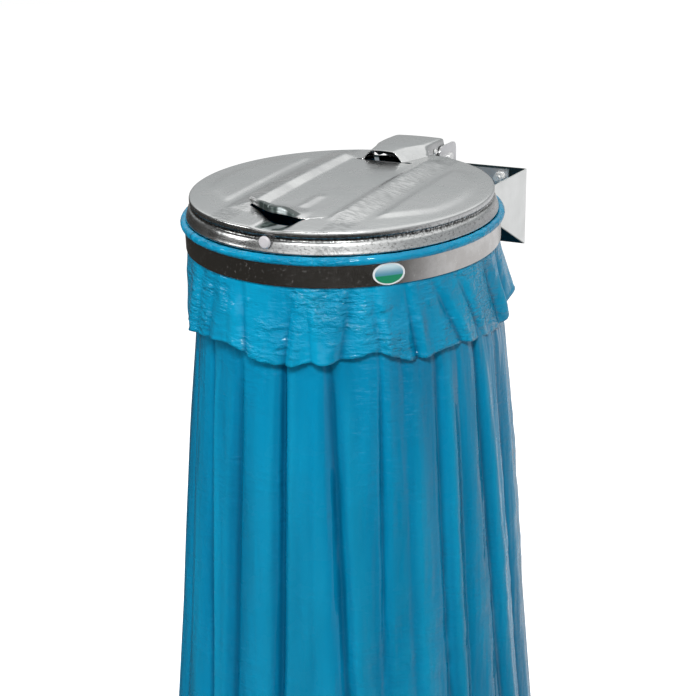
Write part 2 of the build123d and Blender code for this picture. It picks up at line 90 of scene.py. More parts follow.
def smooth_ramp(value: float, start: float, end: float) -> float:
    """Smooth rise from nought at start to one at end.

    Args:
        value: Where the ramp is read.
        start: Place where the ramp begins.
        end: Place where the ramp has reached one.

    Returns:
        A share from nought to one.
    """
    share = min(1.0, max(0.0, (value - start) / (end - start)))
    return share * share * (3.0 - 2.0 * share)


def between(low: float, high: float, share: float) -> float:
    """Value at a share of the way from low to high."""
    return low + (high - low) * share


def along_points(points: Sequence[Point], value: float) -> float:
    """Reads a chain of (place, level) points with straight runs between them.

    Args:
        points: Points in rising order of place.
        value: Place to read.

    Returns:
        The level there, held beyond both ends.
    """
    if value <= points[0][0]:
        return points[0][1]
    for (x0, z0), (x1, z1) in zip(points, points[1:]):
        if value <= x1:
            return between(z0, z1, (value - x0) / (x1 - x0))
    return points[-1][1]


def along_curve(points: Sequence[Point], value: float) -> float:
    """Reads a chain of (place, level) points with a smooth curve through them.

    Args:
        points: Points in rising order of place.
        value: Place to read, from the second point to the last but one at most.

    Returns:
        The level there.
    """
    for before, start, end, after in zip(points, points[1:], points[2:], points[3:]):
        if start[0] <= value <= end[0]:
            span = end[0] - start[0]
            first = (end[1] - before[1]) / (end[0] - before[0]) * span
            last = (after[1] - start[1]) / (after[0] - start[0]) * span
            share = (value - start[0]) / span
            squared, cubed = share ** 2, share ** 3
            return (start[1] * (2 * cubed - 3 * squared + 1) + first * (cubed - 2 * squared + share)
                    + end[1] * (3 * squared - 2 * cubed) + last * (cubed - squared))
    return along_points(points, value)


def round_point(bearing: float, radius: float, level: float) -> Vector:
    """Point in the hoop's frame at a bearing in degrees from the front."""
    angle = math.radians(bearing)
    return Vector((math.sin(angle) * radius, -math.cos(angle) * radius, level))


def apart(bearing: float, other: float) -> float:
    """Degrees from another bearing to this one, the shorter way round."""
    return (bearing - other + 180.0) % 360.0 - 180.0


def drawn_on(shape: BMesh, edges: Iterable[BMEdge]) -> tuple[list[BMVert], list[BMEdge]]:
    """Extrudes a chain of edges once.

    Args:
        shape: Mesh that holds the edges.
        edges: The chain.

    Returns:
        The new points, and the new edges that run between them.
    """
    made = bmesh.ops.extrude_edge_only(shape, edges=list(edges))["geom"]
    fresh = [item for item in made if isinstance(item, BMVert)]
    among = set(fresh)
    chain = [item for item in made if isinstance(item, BMEdge) and item.is_boundary
             and item.verts[0] in among and item.verts[1] in among]
    return fresh, chain


def as_object(name: str, shape: BMesh, material: Material) -> bpy.types.Object:
    """Makes a linked object from a mesh.

    Args:
        name: Name of the object and its mesh.
        shape: The mesh in metres; it is freed here.
        material: Its only material.

    Returns:
        The object.
    """
    mesh = bpy.data.meshes.new(name)
    shape.to_mesh(mesh)
    shape.free()
    mesh.materials.append(material)
    made = bpy.data.objects.new(name, mesh)
    bpy.context.scene.collection.objects.link(made)
    return made


def origin_of(vert: BMVert, known: dict[BMVert, object]) -> BMVert:
    """The known point from which a new one was extruded."""
    return next(edge.other_vert(vert) for edge in vert.link_edges if edge.other_vert(vert) in known)


class NodeSketch:
    """Wires shader nodes in one tree with short calls."""

    def __init__(self, tree: bpy.types.NodeTree, output: str) -> None:
        """Empties the tree and adds its output and its object coordinates."""
        self.tree = tree
        tree.nodes.clear()
        self.output = tree.nodes.new(output)
        self.plain = tree.nodes.new("ShaderNodeTexCoord").outputs["Object"]

    def node(self, kind: str, settings: dict | None = None, **values: object) -> bpy.types.Node:
        """Adds a node.

        Args:
            kind: Node type without its ShaderNode prefix.
            settings: Attributes set on the node itself.
            **values: Socket values or links, with spaces in socket names written as underscores.

        Returns:
            The new node.
        """
        made = self.tree.nodes.new("ShaderNode" + kind)
        for key, value in (settings or {}).items():
            setattr(made, key, value)
        for key, value in values.items():
            self.feed(made.inputs[key.replace("_", " ")], value)
        return made

    def feed(self, socket: Socket, value: object) -> None:
        """Links or sets one input socket."""
        if isinstance(value, Socket):
            self.tree.links.new(value, socket)
        elif isinstance(value, tuple) and len(value) == 3 and socket.type == "RGBA":
            socket.default_value = (*value, 1.0)
        else:
            socket.default_value = value

    def placed(self, scale: Sequence[float], turn: Sequence[float] = (0, 0, 0)) -> Socket:
        """Object coordinates after a scale and a turn."""
        mapping = self.node("Mapping", Scale=tuple(scale), Rotation=tuple(turn), Vector=self.plain)
        return mapping.outputs["Vector"]

    def along_axis(self, centre: Sequence[float], axis: Sequence[float]) -> Socket:
        """Way from a centre along an axis.

        Args:
            centre: Place in metres where the way is nought.
            axis: Direction, as long as the scale to be given to the way.

        Returns:
            The distance in metres times the axis's length.
        """
        away = self.node("VectorMath", {"operation": "SUBTRACT"})
        self.feed(away.inputs[0], self.plain)
        away.inputs[1].default_value = tuple(centre)
        way = self.node("VectorMath", {"operation": "DOT_PRODUCT"})
        self.feed(way.inputs[0], away.outputs["Vector"])
        way.inputs[1].default_value = tuple(axis)
        return way.outputs["Value"]

    def hoop_measure(self, axis: Vector) -> Socket:
        """Distance in metres from the hoop's centre along one axis of the hoop's frame."""
        return self.along_axis(HOOP_CENTRE, HOOP_PLACE.to_3x3() @ axis)

    def part(self, axis: str) -> Socket:
        """One of the object coordinates, by its letter."""
        return self.node("SeparateXYZ", Vector=self.plain).outputs[axis]

    def off_middle(self) -> Socket:
        """Distance in metres from the middle plane, to either side."""
        return self.math("ABSOLUTE", self.part("X"), clamp=False)

    def noise(self, place: Socket, scale: float, detail: float = 4.0, rough: float = 0.6) -> Socket:
        """Noise factor at a scale."""
        made = self.node("TexNoise", Vector=place, Scale=scale, Detail=detail, Roughness=rough)
        return made.outputs["Fac"]

    def math(self, operation: str, *values: object, clamp: bool = True) -> Socket:
        """One sum on a value or two, held between nought and one unless clamp is false."""
        made = self.node("Math", {"operation": operation, "use_clamp": clamp})
        for socket, value in zip(made.inputs, values):
            self.feed(socket, value)
        return made.outputs[0]

    def overlap(self, *shares: Socket) -> Socket:
        """Product of shares from nought to one."""
        total = shares[0]
        for share in shares[1:]:
            total = self.math("MULTIPLY", total, share)
        return total

    def ramp(self, factor: Socket, low: float, high: float, start: float = 0.0,
             end: float = 1.0) -> Socket:
        """Smoothly maps a factor from low and high onto start and end."""
        made = self.node("MapRange", {"interpolation_type": "SMOOTHSTEP"}, Value=factor)
        for index, value in enumerate((low, high, start, end), 1):
            made.inputs[index].default_value = value
        return made.outputs[0]

    def window(self, factor: Socket, rise: Point, fall: Point) -> Socket:
        """One between a smooth rise and a smooth fall of a factor, nought beyond both."""
        return self.overlap(self.ramp(factor, *rise), self.ramp(factor, *fall, 1.0, 0.0))

    def mix(self, factor: object, first: object, second: object) -> Socket:
        """Mixes two colours."""
        made = self.node("Mix", {"data_type": "RGBA"})
        self.feed(made.inputs["Factor"], factor)
        for index, value in ((6, first), (7, second)):
            self.feed(made.inputs[index], value)
        return made.outputs[2]

    def bump(self, height: Socket, strength: float, distance: float,
             under: Socket | None = None) -> Socket:
        """Turns a height factor into a bumped normal."""
        made = self.node("Bump", Height=height, Strength=strength, Distance=distance)
        if under is not None:
            self.feed(made.inputs["Normal"], under)
        return made.outputs["Normal"]

    def by_ray(self, words: Sequence[str], other: Socket, seen: Socket) -> Socket:
        """Mixes two shaders by the kind of ray.

        Args:
            words: Kinds of ray, by their names in the Light Path node.
            other: Shader for all other rays.
            seen: Shader for the named rays.

        Returns:
            The mixed shader.
        """
        path, made = self.node("LightPath"), self.node("MixShader")
        total = path.outputs[f"Is {words[0]} Ray"]
        for word in words[1:]:
            total = self.math("ADD", total, path.outputs[f"Is {word} Ray"])
        for socket, value in zip(made.inputs, (total, other, seen)):
            self.feed(socket, value)
        return made.outputs[0]


class ShaderSketch(NodeSketch):
    """Builds one node material."""

    def __init__(self, name: str) -> None:
        """Starts an empty material of that name."""
        self.material = bpy.data.materials.new(name)
        self.material.use_nodes = True
        super().__init__(self.material.node_tree, "ShaderNodeOutputMaterial")

    def finish(self, **values: object) -> Material:
        """Closes the material with a principled shader.

        Args:
            **values: Principled sockets, with spaces written as underscores.

        Returns:
            The finished material.
        """
        shader = self.node("BsdfPrincipled", None, **values)
        self.tree.links.new(shader.outputs[0], self.output.inputs[0])
        return self.material


@dataclass(frozen=True)
class ZincFinish:
    """Hot-dip galvanised or plated sheet: crystals, dull blotches, rubbed streaks.

    shade_half and shade_front bound, in metres, the shaded space between a bracket's two sides.
    """

    name: str
    light: Colour
    dark: Colour
    roughness: float
    metallic: float = 0.9
    crystal_scale: float = 60.0
    pressed_lid: bool = False
    shade_half: float = 0.0
    shade_front: float = -1.0
    shade: Colour = (0.045, 0.070, 0.075)
    speckle: Colour = (0.10, 0.10, 0.095)
    # painted shade for the lid's groove
    groove_shade: Colour = (0.035, 0.035, 0.033)
    dull: Colour = (0.20, 0.21, 0.21)
    # painted highlight and painted dark reflection tones for the handle's scoop and lip
    scoop_highlight: Colour = (0.62, 0.68, 0.68)
    scoop_reflection_tones: tuple[Colour, Colour] = ((0.045, 0.065, 0.060), (0.15, 0.19, 0.18))
    lip_reflection_tones: tuple[Colour, Colour] = ((0.030, 0.045, 0.042), (0.34, 0.40, 0.39))

    def material(self) -> Material:
        """Returns the node material of this coat."""
        sketch = ShaderSketch(self.name)
        blotch = sketch.noise(sketch.plain, 14.0, 5.0, 0.62)
        fine = sketch.noise(sketch.plain, 420.0, 3.0, 0.7)
        crystal = sketch.node("TexVoronoi", Vector=sketch.plain, Scale=self.crystal_scale)
        grain = sketch.node("SeparateColor", Color=crystal.outputs["Color"]).outputs[0]
        scratch = sketch.noise(sketch.placed((30.0, 900.0, 120.0), (0.0, 0.0, 0.7)), 1.0, 3.0, 0.7)
        tone = sketch.mix(sketch.ramp(blotch, 0.34, 0.70), self.dark, self.light)
        tone = sketch.mix(sketch.ramp(grain, 0.0, 1.0, 0.0, 0.16), tone, self.light)
        rubbed = sketch.ramp(scratch, 0.62, 0.74, 0.0, 0.25)
        tone = sketch.mix(rubbed, tone, tuple(min(1.0, part * 1.35) for part in self.light))
        metal: object = self.metallic
        if self.pressed_lid:
            tone, metal = self.handle_shade(sketch, self.lid_wear_and_groove_shade(sketch, tone))
        if self.shade_half:
            tone = self.inner_shade(sketch, tone)
        rough = sketch.ramp(blotch, 0.3, 0.7, self.roughness + 0.07, self.roughness - 0.05)
        normal = sketch.bump(blotch, 0.10, 0.004)
        normal = sketch.bump(fine, 0.10, 0.0004, normal)
        normal = sketch.bump(scratch, 0.05, 0.0004, normal)
        return sketch.finish(Base_Color=tone, Metallic=metal, Roughness=rough, Normal=normal)

    def inner_shade(self, sketch: ShaderSketch, tone: Socket) -> Socket:
        """Darkens what lies in the shade between a bracket's two sides.

        Args:
            sketch: Nodes of the coat.
            tone: Colour of the plain coat.

        Returns:
            Colour with the shaded part.
        """
        inside = sketch.ramp(sketch.off_middle(), self.shade_half - 0.0008, self.shade_half, 1.0, 0.0)
        front, back = (self.shade_front - 0.0010, self.shade_front), (-0.0015, -0.0010)
        deep_shade = sketch.window(sketch.part("Y"), front, back)
        return sketch.mix(sketch.overlap(inside, deep_shade), tone, self.shade)

    def lid_wear_and_groove_shade(self, sketch: ShaderSketch, tone: Socket) -> Socket:
        """Adds the speckled skirt, painted shade speckled into its groove and the dull strips beside the
        ribs.

        Args:
            sketch: Nodes of the coat.
            tone: Colour of the plain coat.

        Returns:
            Colour of the worn coat.
        """
        height = sketch.hoop_measure(UPWARD)
        speck = sketch.noise(sketch.plain, 330.0, 5.0, 0.8)
        coarse = sketch.noise(sketch.placed((260.0, 260.0, 420.0)), 1.0, 5.0, 0.75)
        spangle = sketch.noise(sketch.placed((70.0, 420.0, 70.0)), 1.0, 5.0, 0.7)
        skirt = sketch.ramp(height, 0.0285, 0.0310, 1.0, 0.0)
        groove = sketch.window(height, (0.0185, 0.0215), (0.0250, 0.0275))
        strips = sketch.window(sketch.off_middle(), (0.056, 0.064), (0.086, 0.096))
        for place, share, colour in (
                (skirt, sketch.ramp(coarse, 0.50, 0.62, 0.0, 0.55), self.speckle),
                # The groove's darker speckles are painted shade in the recess.
                (groove, sketch.ramp(speck, 0.38, 0.56), self.groove_shade),
                (strips, sketch.ramp(spangle, 0.42, 0.58, 0.55, 0.0), self.dull)):
            tone = sketch.mix(sketch.overlap(place, share), tone, colour)
        return tone

    def handle_shade(self, sketch: ShaderSketch, tone: Socket) -> tuple[Socket, Socket]:
        """Paints the dark room's reflection into the finger scoop and onto the handle's lip, which see only
        the dark room, with painted highlights.

        Args:
            sketch: Nodes of the coat.
            tone: Colour of the worn coat.

        Returns:
            Colour and metal share of the finished coat, with less metal where the reflection is painted.
        """
        across, side = sketch.part("X"), sketch.off_middle()
        along, height = sketch.hoop_measure(REARWARD), sketch.hoop_measure(UPWARD)
        ripple = sketch.noise(sketch.placed((240.0, 60.0, 60.0)), 1.0, 3.0, 0.6)
        scoop = sketch.overlap(sketch.ramp(side, 0.0165, 0.0205, 1.0, 0.0),
                               sketch.window(along, (-0.1895, -0.1850), (-0.1480, -0.1450)))
        # Painted dark reflection in the scoop, with a painted pale highlight streak down its middle.
        grey = sketch.mix(sketch.ramp(ripple, 0.40, 0.62), *self.scoop_reflection_tones)
        grey = sketch.mix(sketch.window(across, (-0.0110, -0.0070), (0.0, 0.0050)), grey, self.scoop_highlight)
        ahead = sketch.math("ADD", along, sketch.ramp(side, 0.014, 0.056, 0.1425, 0.1225))
        lip = sketch.overlap(sketch.ramp(ahead, 0.0050, 0.0100, 1.0, 0.0),
                             sketch.ramp(height, 0.0362, 0.0375),
                             sketch.window(across, (-0.050, -0.040), (0.014, 0.026)))
        # Painted dark reflection on the lip with painted highlights along its ripples; the metal share drops
        # there so the paint shows.
        shade = sketch.mix(sketch.ramp(ripple, 0.56, 0.66), *self.lip_reflection_tones)
        metal = sketch.ramp(sketch.math("ADD", scoop, lip), 0.0, 1.0, self.metallic, 0.25)
        return sketch.mix(scoop, sketch.mix(lip, tone, shade), grey), metal


@dataclass(frozen=True)
class BrightBandFinish:
    """Smooth rolled steel with faint lengthwise lines and a few handling marks."""

    name: str = "bright_band_steel"
    light: Colour = (0.60, 0.59, 0.575)
    dark: Colour = (0.47, 0.455, 0.435)
    scuff: Colour = (0.85, 0.84, 0.82)

    def material(self) -> Material:
        """Returns the node material of the band."""
        sketch = ShaderSketch(self.name)
        lines = sketch.noise(sketch.placed((6.0, 6.0, 900.0)), 1.0, 3.0, 0.6)
        cloud = sketch.noise(sketch.plain, 22.0, 4.0, 0.6)
        marks = sketch.noise(sketch.plain, 260.0, 5.0, 0.75)
        tone = sketch.mix(sketch.ramp(cloud, 0.35, 0.68), self.dark, self.light)
        tone = sketch.mix(sketch.ramp(marks, 0.60, 0.72, 0.0, 0.8), tone, self.scuff)
        rough = sketch.ramp(cloud, 0.3, 0.7, 0.25, 0.17)
        bare = sketch.ramp(marks, 0.58, 0.70, 1.0, 0.72)
        normal = sketch.bump(lines, 0.06, 0.0004)
        normal = sketch.bump(marks, 0.12, 0.0003, normal)
        return sketch.finish(Base_Color=tone, Metallic=bare, Roughness=rough, Normal=normal)


@dataclass(frozen=True)
class FilmFinish:
    """Thin glossy film: sharp cross crinkles, small dents, stretched streaks with painted shade in their
    hollows, painted shade in the fold valleys and painted light on the fold crests.
    """

    name: str
    colour: Colour
    # colour of the painted shade in the streaks' hollows
    deep_shade: Colour
    crinkle: float
    roughness: float = 0.26
    fold_shade: float = 0.75
    # painted shade for the fold valleys and painted light for the fold crests
    valley: Colour = (0.001, 0.095, 0.205)
    crest: Colour = (0.010, 0.400, 0.640)

    def material(self) -> Material:
        """Returns the node material of the film."""
        sketch = ShaderSketch(self.name)
        flat = self.crease(sketch, sketch.placed((15.0, 15.0, 75.0)))
        slant = self.crease(sketch, sketch.placed((38.0, 38.0, 60.0), (0.5, 0.3, 0.0)))
        drape = sketch.noise(sketch.placed((24.0, 24.0, 2.6)), 1.0, 3.0, 0.5)
        dent = sketch.noise(sketch.placed((22.0, 22.0, 30.0)), 1.0, 2.0, 0.5)
        fold = sketch.node("Attribute", {"attribute_name": "fold"}).outputs["Fac"]
        # Darker where the streak bump sinks: painted shade in the drape's hollows.
        tone = sketch.mix(sketch.ramp(drape, 0.30, 0.72), self.deep_shade, self.colour)
        # Painted shade in the fold valleys and painted light on the fold crests, read from the fold depth.
        tone = sketch.mix(sketch.ramp(fold, -1.0, -0.15, self.fold_shade, 0.0), tone, self.valley)
        tone = sketch.mix(sketch.ramp(fold, 0.25, 1.0, 0.0, 0.30), tone, self.crest)
        patch = sketch.ramp(sketch.noise(sketch.plain, 8.0, 3.0, 0.6), 0.44, 0.62, 0.05, 1.0)
        normal = sketch.bump(drape, 0.55, 0.020)
        normal = sketch.bump(dent, self.crinkle, 0.0060, normal)
        normal = sketch.bump(sketch.math("MULTIPLY", flat, patch), self.crinkle, 0.0034, normal)
        normal = sketch.bump(sketch.math("MULTIPLY", slant, patch), 0.9 * self.crinkle, 0.0036, normal)
        rough = sketch.ramp(dent, 0.3, 0.7, self.roughness + 0.05, self.roughness - 0.05)
        return sketch.finish(Base_Color=tone, Metallic=0.0, Roughness=rough, Normal=normal, IOR=1.5,
                             Specular_IOR_Level=0.07, Coat_Weight=0.42, Coat_Roughness=0.06,
                             Coat_Normal=normal)

    @staticmethod
    def crease(sketch: ShaderSketch, place: Socket) -> Socket:
        """Noise folded about its middle, which gives sharp ridges as in crumpled film."""
        folded = sketch.math("SUBTRACT", sketch.noise(place, 1.0, 4.0, 0.55), 0.5, clamp=False)
        return sketch.ramp(sketch.math("ABSOLUTE", folded, clamp=False), 0.0, 0.16, 1.0, 0.0)


@dataclass(frozen=True)
class PlasticFinish:
    """Satin moulded plastic with a faint grain."""

    name: str = "pale_satin_plastic"
    colour: Colour = (0.62, 0.60, 0.62)

    def material(self) -> Material:
        """Returns the node material of the plastic."""
        sketch = ShaderSketch(self.name)
        grain = sketch.noise(sketch.plain, 700.0, 3.0, 0.6)
        cloud = sketch.noise(sketch.plain, 80.0, 3.0, 0.6)
        shaded = tuple(part * 0.88 for part in self.colour)
        tone = sketch.mix(sketch.ramp(cloud, 0.3, 0.7), shaded, self.colour)
        return sketch.finish(Base_Color=tone, Roughness=0.42, Normal=sketch.bump(grain, 0.15, 0.0003))


@dataclass(frozen=True)
class OvalDiscFinish:
    """Plain oval sticker: a white rim, a pale field above and a green field below."""

    bearing: float = 42.3
    radius: float = 200.4
    level: float = -18.7
    half_width: float = 19.5
    half_height: float = 13.3
    pale_field: tuple[Colour, Colour] = ((0.10, 0.30, 0.42), (0.62, 0.78, 0.84))
    green_field: Colour = (0.015, 0.26, 0.13)
    rim: Colour = (0.80, 0.84, 0.86)

    def material(self) -> Material:
        """Returns the node material of the sticker."""
        sketch = ShaderSketch("plain_oval_disc")
        turn = math.radians(self.bearing)
        centre = [part * MM for part in HOOP_PLACE @ round_point(self.bearing, self.radius, self.level)]
        sideways = Vector((math.cos(turn), math.sin(turn), 0.0))
        across, up = (sketch.along_axis(centre, [part / (half * MM) for part in axis]) for axis, half in (
            (sideways, self.half_width), (HOOP_PLACE.to_3x3() @ UPWARD, self.half_height)))
        squares = [sketch.math("MULTIPLY", share, share, clamp=False) for share in (across, up)]
        tone = sketch.mix(sketch.ramp(up, -0.10, 0.85), *self.pale_field)
        tone = sketch.mix(sketch.ramp(up, -0.20, -0.08, 1.0, 0.0), tone, self.green_field)
        outside = sketch.ramp(sketch.math("ADD", *squares, clamp=False), 0.74, 0.80)
        tone = sketch.mix(outside, tone, self.rim)
        grain = sketch.noise(sketch.plain, 500.0, 3.0, 0.6)
        return sketch.finish(Base_Color=tone, Roughness=0.22, Normal=sketch.bump(grain, 0.08, 0.0003),
                             Coat_Weight=0.4, Coat_Roughness=0.08)


@dataclass(frozen=True)
class PieceWork:
    """Turns a finished bmesh in the hoop's frame into a placed piece."""

    name: str
    body: Body
    slot: Slot

    def place(self, shape: BMesh, material: Material, wall: float = 0.0,
              smoothing: int = 0, turned: bool = True) -> bpy.types.Object:
        """Makes the object, gives it its wall and material and lets it ride.

        Args:
            shape: Mesh in millimetres; it is freed here.
            material: Finish of the piece.
            wall: Sheet thickness in millimetres, nought for a closed form.
            smoothing: Subdivision levels after the wall.
            turned: True where the mesh is in the hoop's frame, False in the bracket's.

        Returns:
            The placed object.
        """
        place = HOOP_PLACE if turned else Matrix.Identity(4)
        bmesh.ops.transform(shape, matrix=Matrix.Scale(MM, 4) @ place, verts=shape.verts)
        piece = as_object(self.name, shape, material)
        faces = piece.data.polygons
        faces.foreach_set("use_smooth", [True] * len(faces))
        if wall:
            solid = piece.modifiers.new("sheet_wall", "SOLIDIFY")
            solid.thickness = wall * MM
            solid.offset = -1.0
            solid.use_even_offset = True
        if smoothing:
            finer = piece.modifiers.new("soft_form", "SUBSURF")
            finer.levels = finer.render_levels = smoothing
        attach(piece, self.body.value)
        log.info("%s: %d faces on %s", self.name, len(faces), self.body.value)
        return piece


@dataclass
class PressedLid:
    """The pressed lid: crowned top, ribs, pads, lanced handle, scoop, arch and turned-down skirt."""

    top_level: float = 33.2
    crown: float = 3.2
    flat_radius: float = 182.0
    sheet: float = 1.2
    slit_left: float = -59.0
    slit_right: float = 46.0
    slit_side_end: float = -128.0
    mouth_reach: float = 46.0
    mouth_right: float = 41.0
    slit_front: float = -147.0
    slit_back: float = -127.0
    mouth_row: float = 129.0
    arch_rear: float = 246.0
    arch_foot: float = 29.0
    arch_level: float = 24.0
    crest_share: float = 0.62
    crest_sag: float = 0.8
    mouth_shift: float = 4.5
    pulled_half: float = 75.0
    hood_rise: float = 12.0
    pad_rise: float = 1.6
    ridge_rise: float = 2.2
    scoop_half: float = 22.0
    scoop_dip: float = 2.5
    scoop_reach: float = 50.0
    handle_rows: Point = (-166.0, -108.0)
    handle_half: float = 70.0
    slit_gap: float = 0.4
    mouth_gap: float = 0.5
    mouth_lift: float = 1.6
    rear_half_angle: float = 11.6
    rear_foot: Point = (196.0, 6.5)
    rear_top: Point = (191.5, 25.0)
    arch_halves: tuple[Point, ...] = (
        (129.0, 29.0), (150.0, 36.5), (168.0, 41.0), (184.0, 41.0), (197.0, 38.0), (206.0, 37.5))
    arch_crests: tuple[Point, ...] = (
        (129.0, 48.3), (160.0, 48.0), (200.0, 46.2), (235.0, 44.0), (246.0, 41.6))
    rib_section: tuple[Point, ...] = (
        (48.0, 0.0), (49.5, 0.5), (53.0, 2.7), (57.0, 4.9), (60.0, 5.6), (63.5, 5.5), (68.0, 4.7),
        (78.0, 2.4), (87.0, 0.5), (90.0, 0.1), (92.0, 0.0))
    lip_steps: tuple[Point, ...] = ((-1.3, 0.10), (-0.3, 0.30), (0.3, 0.24), (0.9, 0.10))
    skirt_steps: tuple[Point, ...] = (
        (187.0, -0.15), (190.4, -0.35), (191.6, -0.9), (192.3, -2.1), (192.4, -6.2), (191.9, -7.8),
        (190.8, -8.9), (190.7, -11.6), (191.6, -13.0), (193.4, -13.7), (195.2, -18.5), (196.5, -23.8),
        (197.5, -25.3), (197.6, -27.0), (196.6, -27.8), (195.0, -27.5))
    column_places: tuple[float, ...] = (
        0, 4, 8, 12, 15, 18, 20.5, 23, 25.5, 27.5, 29, 32, 36, 41, 46, 49, 52, 55.5, 59, 62.5, 66, 70, 74,
        77.5, 81, 84.5, 88, 91, 95, 99, 102, 105, 108, 111, 115, 121, 128, 135, 142, 149, 155, 160, 164,
        168, 172, 177, 182)

    def rows(self) -> list[float]:
        """Places of the grid's rows along the lid, with a fine stretch at the handle."""
        places = [-182.0, -176.0, -170.0, -165.0, -160.0, -156.0, -152.5, -149.5]
        places += [self.slit_front, -144.5, -142.0, -139.0, -136.0, -132.0, -128.0, -124.0, -119.0, -114.0]
        places += [-108.0 + 6.0 * step for step in range(39)]
        places += [124.5, self.mouth_row, 132.0, 136.0, 141.0]
        places += [147.0 + 6.0 * step for step in range(17)]
        return places

    def slit_place(self, x: float) -> float:
        """Place along the lid of the handle's slit, which bows towards the rim."""
        return between(self.slit_front, self.slit_back, smooth_ramp(abs(x), 14.0, 56.0))

    def plain_top(self, x: float, y: float) -> float:
        """Level of the lid's sheet with its ribs, pads and ridge, without the cut features.

        Args:
            x: Place to the right of the middle.
            y: Place along the lid, rising to the rear.

        Returns:
            The level in millimetres.
        """
        radius, side = math.hypot(x, y), abs(x)
        level = self.top_level + self.crown * (1.0 - (radius / self.flat_radius) ** 2)
        rib_ends = smooth_ramp(y, -140.0, -118.0) * smooth_ramp(-y, -156.0, -128.0)
        level += along_points(self.rib_section, side) * rib_ends
        pad = smooth_ramp(side, 98.0, 109.0) * smooth_ramp(172.0 - radius, 0.0, 15.0)
        pad *= smooth_ramp(y, -104.0 + (side - 112.0) * 0.9, -94.0 + (side - 112.0) * 0.9)
        level += self.pad_rise * pad * smooth_ramp(-y, -122.0, -104.0)
        ridge = smooth_ramp(y, -108.0, -98.0) * smooth_ramp(-y, 50.0, 62.0)
        level += self.ridge_rise * ridge * (1.0 - smooth_ramp(side, 1.0, 8.5))
        return level

    def hood_level(self, x: float, y: float) -> float:
        """Level behind the slit, where the sheet is drawn up as the handle."""
        length = between(15.0, 44.0, smooth_ramp(x, -60.0, -22.0))
        fall = smooth_ramp(-(y - self.slit_place(x)), -length, -1.5)
        left = between(0.86, 1.0, smooth_ramp(x, -59.0, -40.0))
        right = 1.0 - smooth_ramp(x, -8.0, 25.0)
        return self.plain_top(x, y) + self.hood_rise * left * right * fall ** 1.3

    def hood_lift(self, x: float) -> float:
        """Height of the handle's front edge over the plain sheet."""
        place = self.slit_place(x)
        return self.hood_level(x, place) - self.plain_top(x, place)

    def scoop_level(self, x: float, y: float) -> float:
        """Level ahead of the slit, where the sheet is pressed down for the fingers."""
        depth = between(9.5, 3.2, smooth_ramp(-y, 150.0, 188.0))
        left = between(-46.0, -20.5, smooth_ramp(-y, 128.0, 160.0))
        right = between(25.0, 21.0, smooth_ramp(-y, 140.0, 160.0))
        share = min(1.0, abs(x - (left + right) / 2.0) / ((right - left) / 2.0))
        return self.plain_top(x, y) - depth * (1.0 - share ** 3.0)

    def arch_half(self, y: float) -> float:
        """Half width at the foot of the arch."""
        return along_points(self.arch_halves, y)

    def arch_centre(self, y: float) -> float:
        """Sideways place of the arch's middle, which stands to the left at its mouth."""
        return -self.mouth_shift * (1.0 - smooth_ramp(y, 135.0, 190.0))

    def arch_point(self, share: float, y: float) -> Point:
        """Point on the arch's section.

        Args:
            share: Place over the arch, from minus one at the left foot to one at the right.
            y: Place along the lid.

        Returns:
            Sideways place and level.
        """
        half, side = self.arch_half(y), abs(share)
        rear = smooth_ramp(y, 150.0, 200.0)
        crest_half = between(17.5, 34.5, smooth_ramp(y, 129.0, 205.0))
        crest = along_points(self.arch_crests, y)
        foot = self.plain_top(half, min(y, 176.0)) - 0.6 if y < 185.0 else self.arch_level
        foot = between(foot, self.arch_level, smooth_ramp(y, 176.0, 200.0))
        if side < self.crest_share:
            reach = crest_half * side / self.crest_share
            level = crest - self.crest_sag * (side / self.crest_share) ** 2
        else:
            drop = (side - self.crest_share) / (1.0 - self.crest_share)
            reach = between(crest_half, half, smooth_ramp(drop, -0.4, 1.0) if rear > 0.5 else drop)
            level = between(crest - self.crest_sag, foot, drop ** between(1.15, 1.0, rear))
        return self.arch_centre(y) + math.copysign(reach, share), level

    def build(self) -> BMesh:
        """Makes the lid's outer face as one surface.

        Returns:
            The mesh in the hoop's frame.
        """
        columns = [-place for place in reversed(self.column_places[1:])] + list(self.column_places)
        rows = self.rows()
        shape = bmesh.new()
        bmesh.ops.create_grid(shape, x_segments=len(columns) - 1, y_segments=len(rows) - 1, size=1.0)
        home: dict[BMVert, Point] = {}
        for vert in shape.verts:
            column = round((vert.co.x + 1.0) / 2.0 * (len(columns) - 1))
            row = round((vert.co.y + 1.0) / 2.0 * (len(rows) - 1))
            home[vert] = (columns[column], rows[row])
        outside = [vert for vert, (x, y) in home.items() if not self.kept(x, y)]
        self.drop_points(shape, home, outside)
        self.drop_points(shape, home, [vert for vert in shape.verts if not vert.link_faces])
        self.cut_slits(shape, home)
        for vert, (x, y) in home.items():
            vert.co = self.settled(vert, x, y, home)
        self.draw_lip(shape, home)
        self.draw_skirt(shape, home)
        self.draw_rear_skirt(shape)
        bmesh.ops.recalc_face_normals(shape, faces=shape.faces)
        return shape

    @staticmethod
    def drop_points(shape: BMesh, home: dict[BMVert, Point], points: list[BMVert]) -> None:
        """Deletes points from the mesh and from the table of their places."""
        for vert in points:
            del home[vert]
        bmesh.ops.delete(shape, geom=points, context="VERTS")

    def on_hood_edge(self, vert: BMVert, home: dict[BMVert, Point]) -> bool:
        """True for a point of the hood's free front edge."""
        rows = [home[other][1] for face in vert.link_faces for other in face.verts]
        on_slit = home[vert][1] == self.slit_front and min(rows) >= self.slit_front
        return on_slit and vert.co.z > self.plain_top(*vert.co.xy) - 0.01

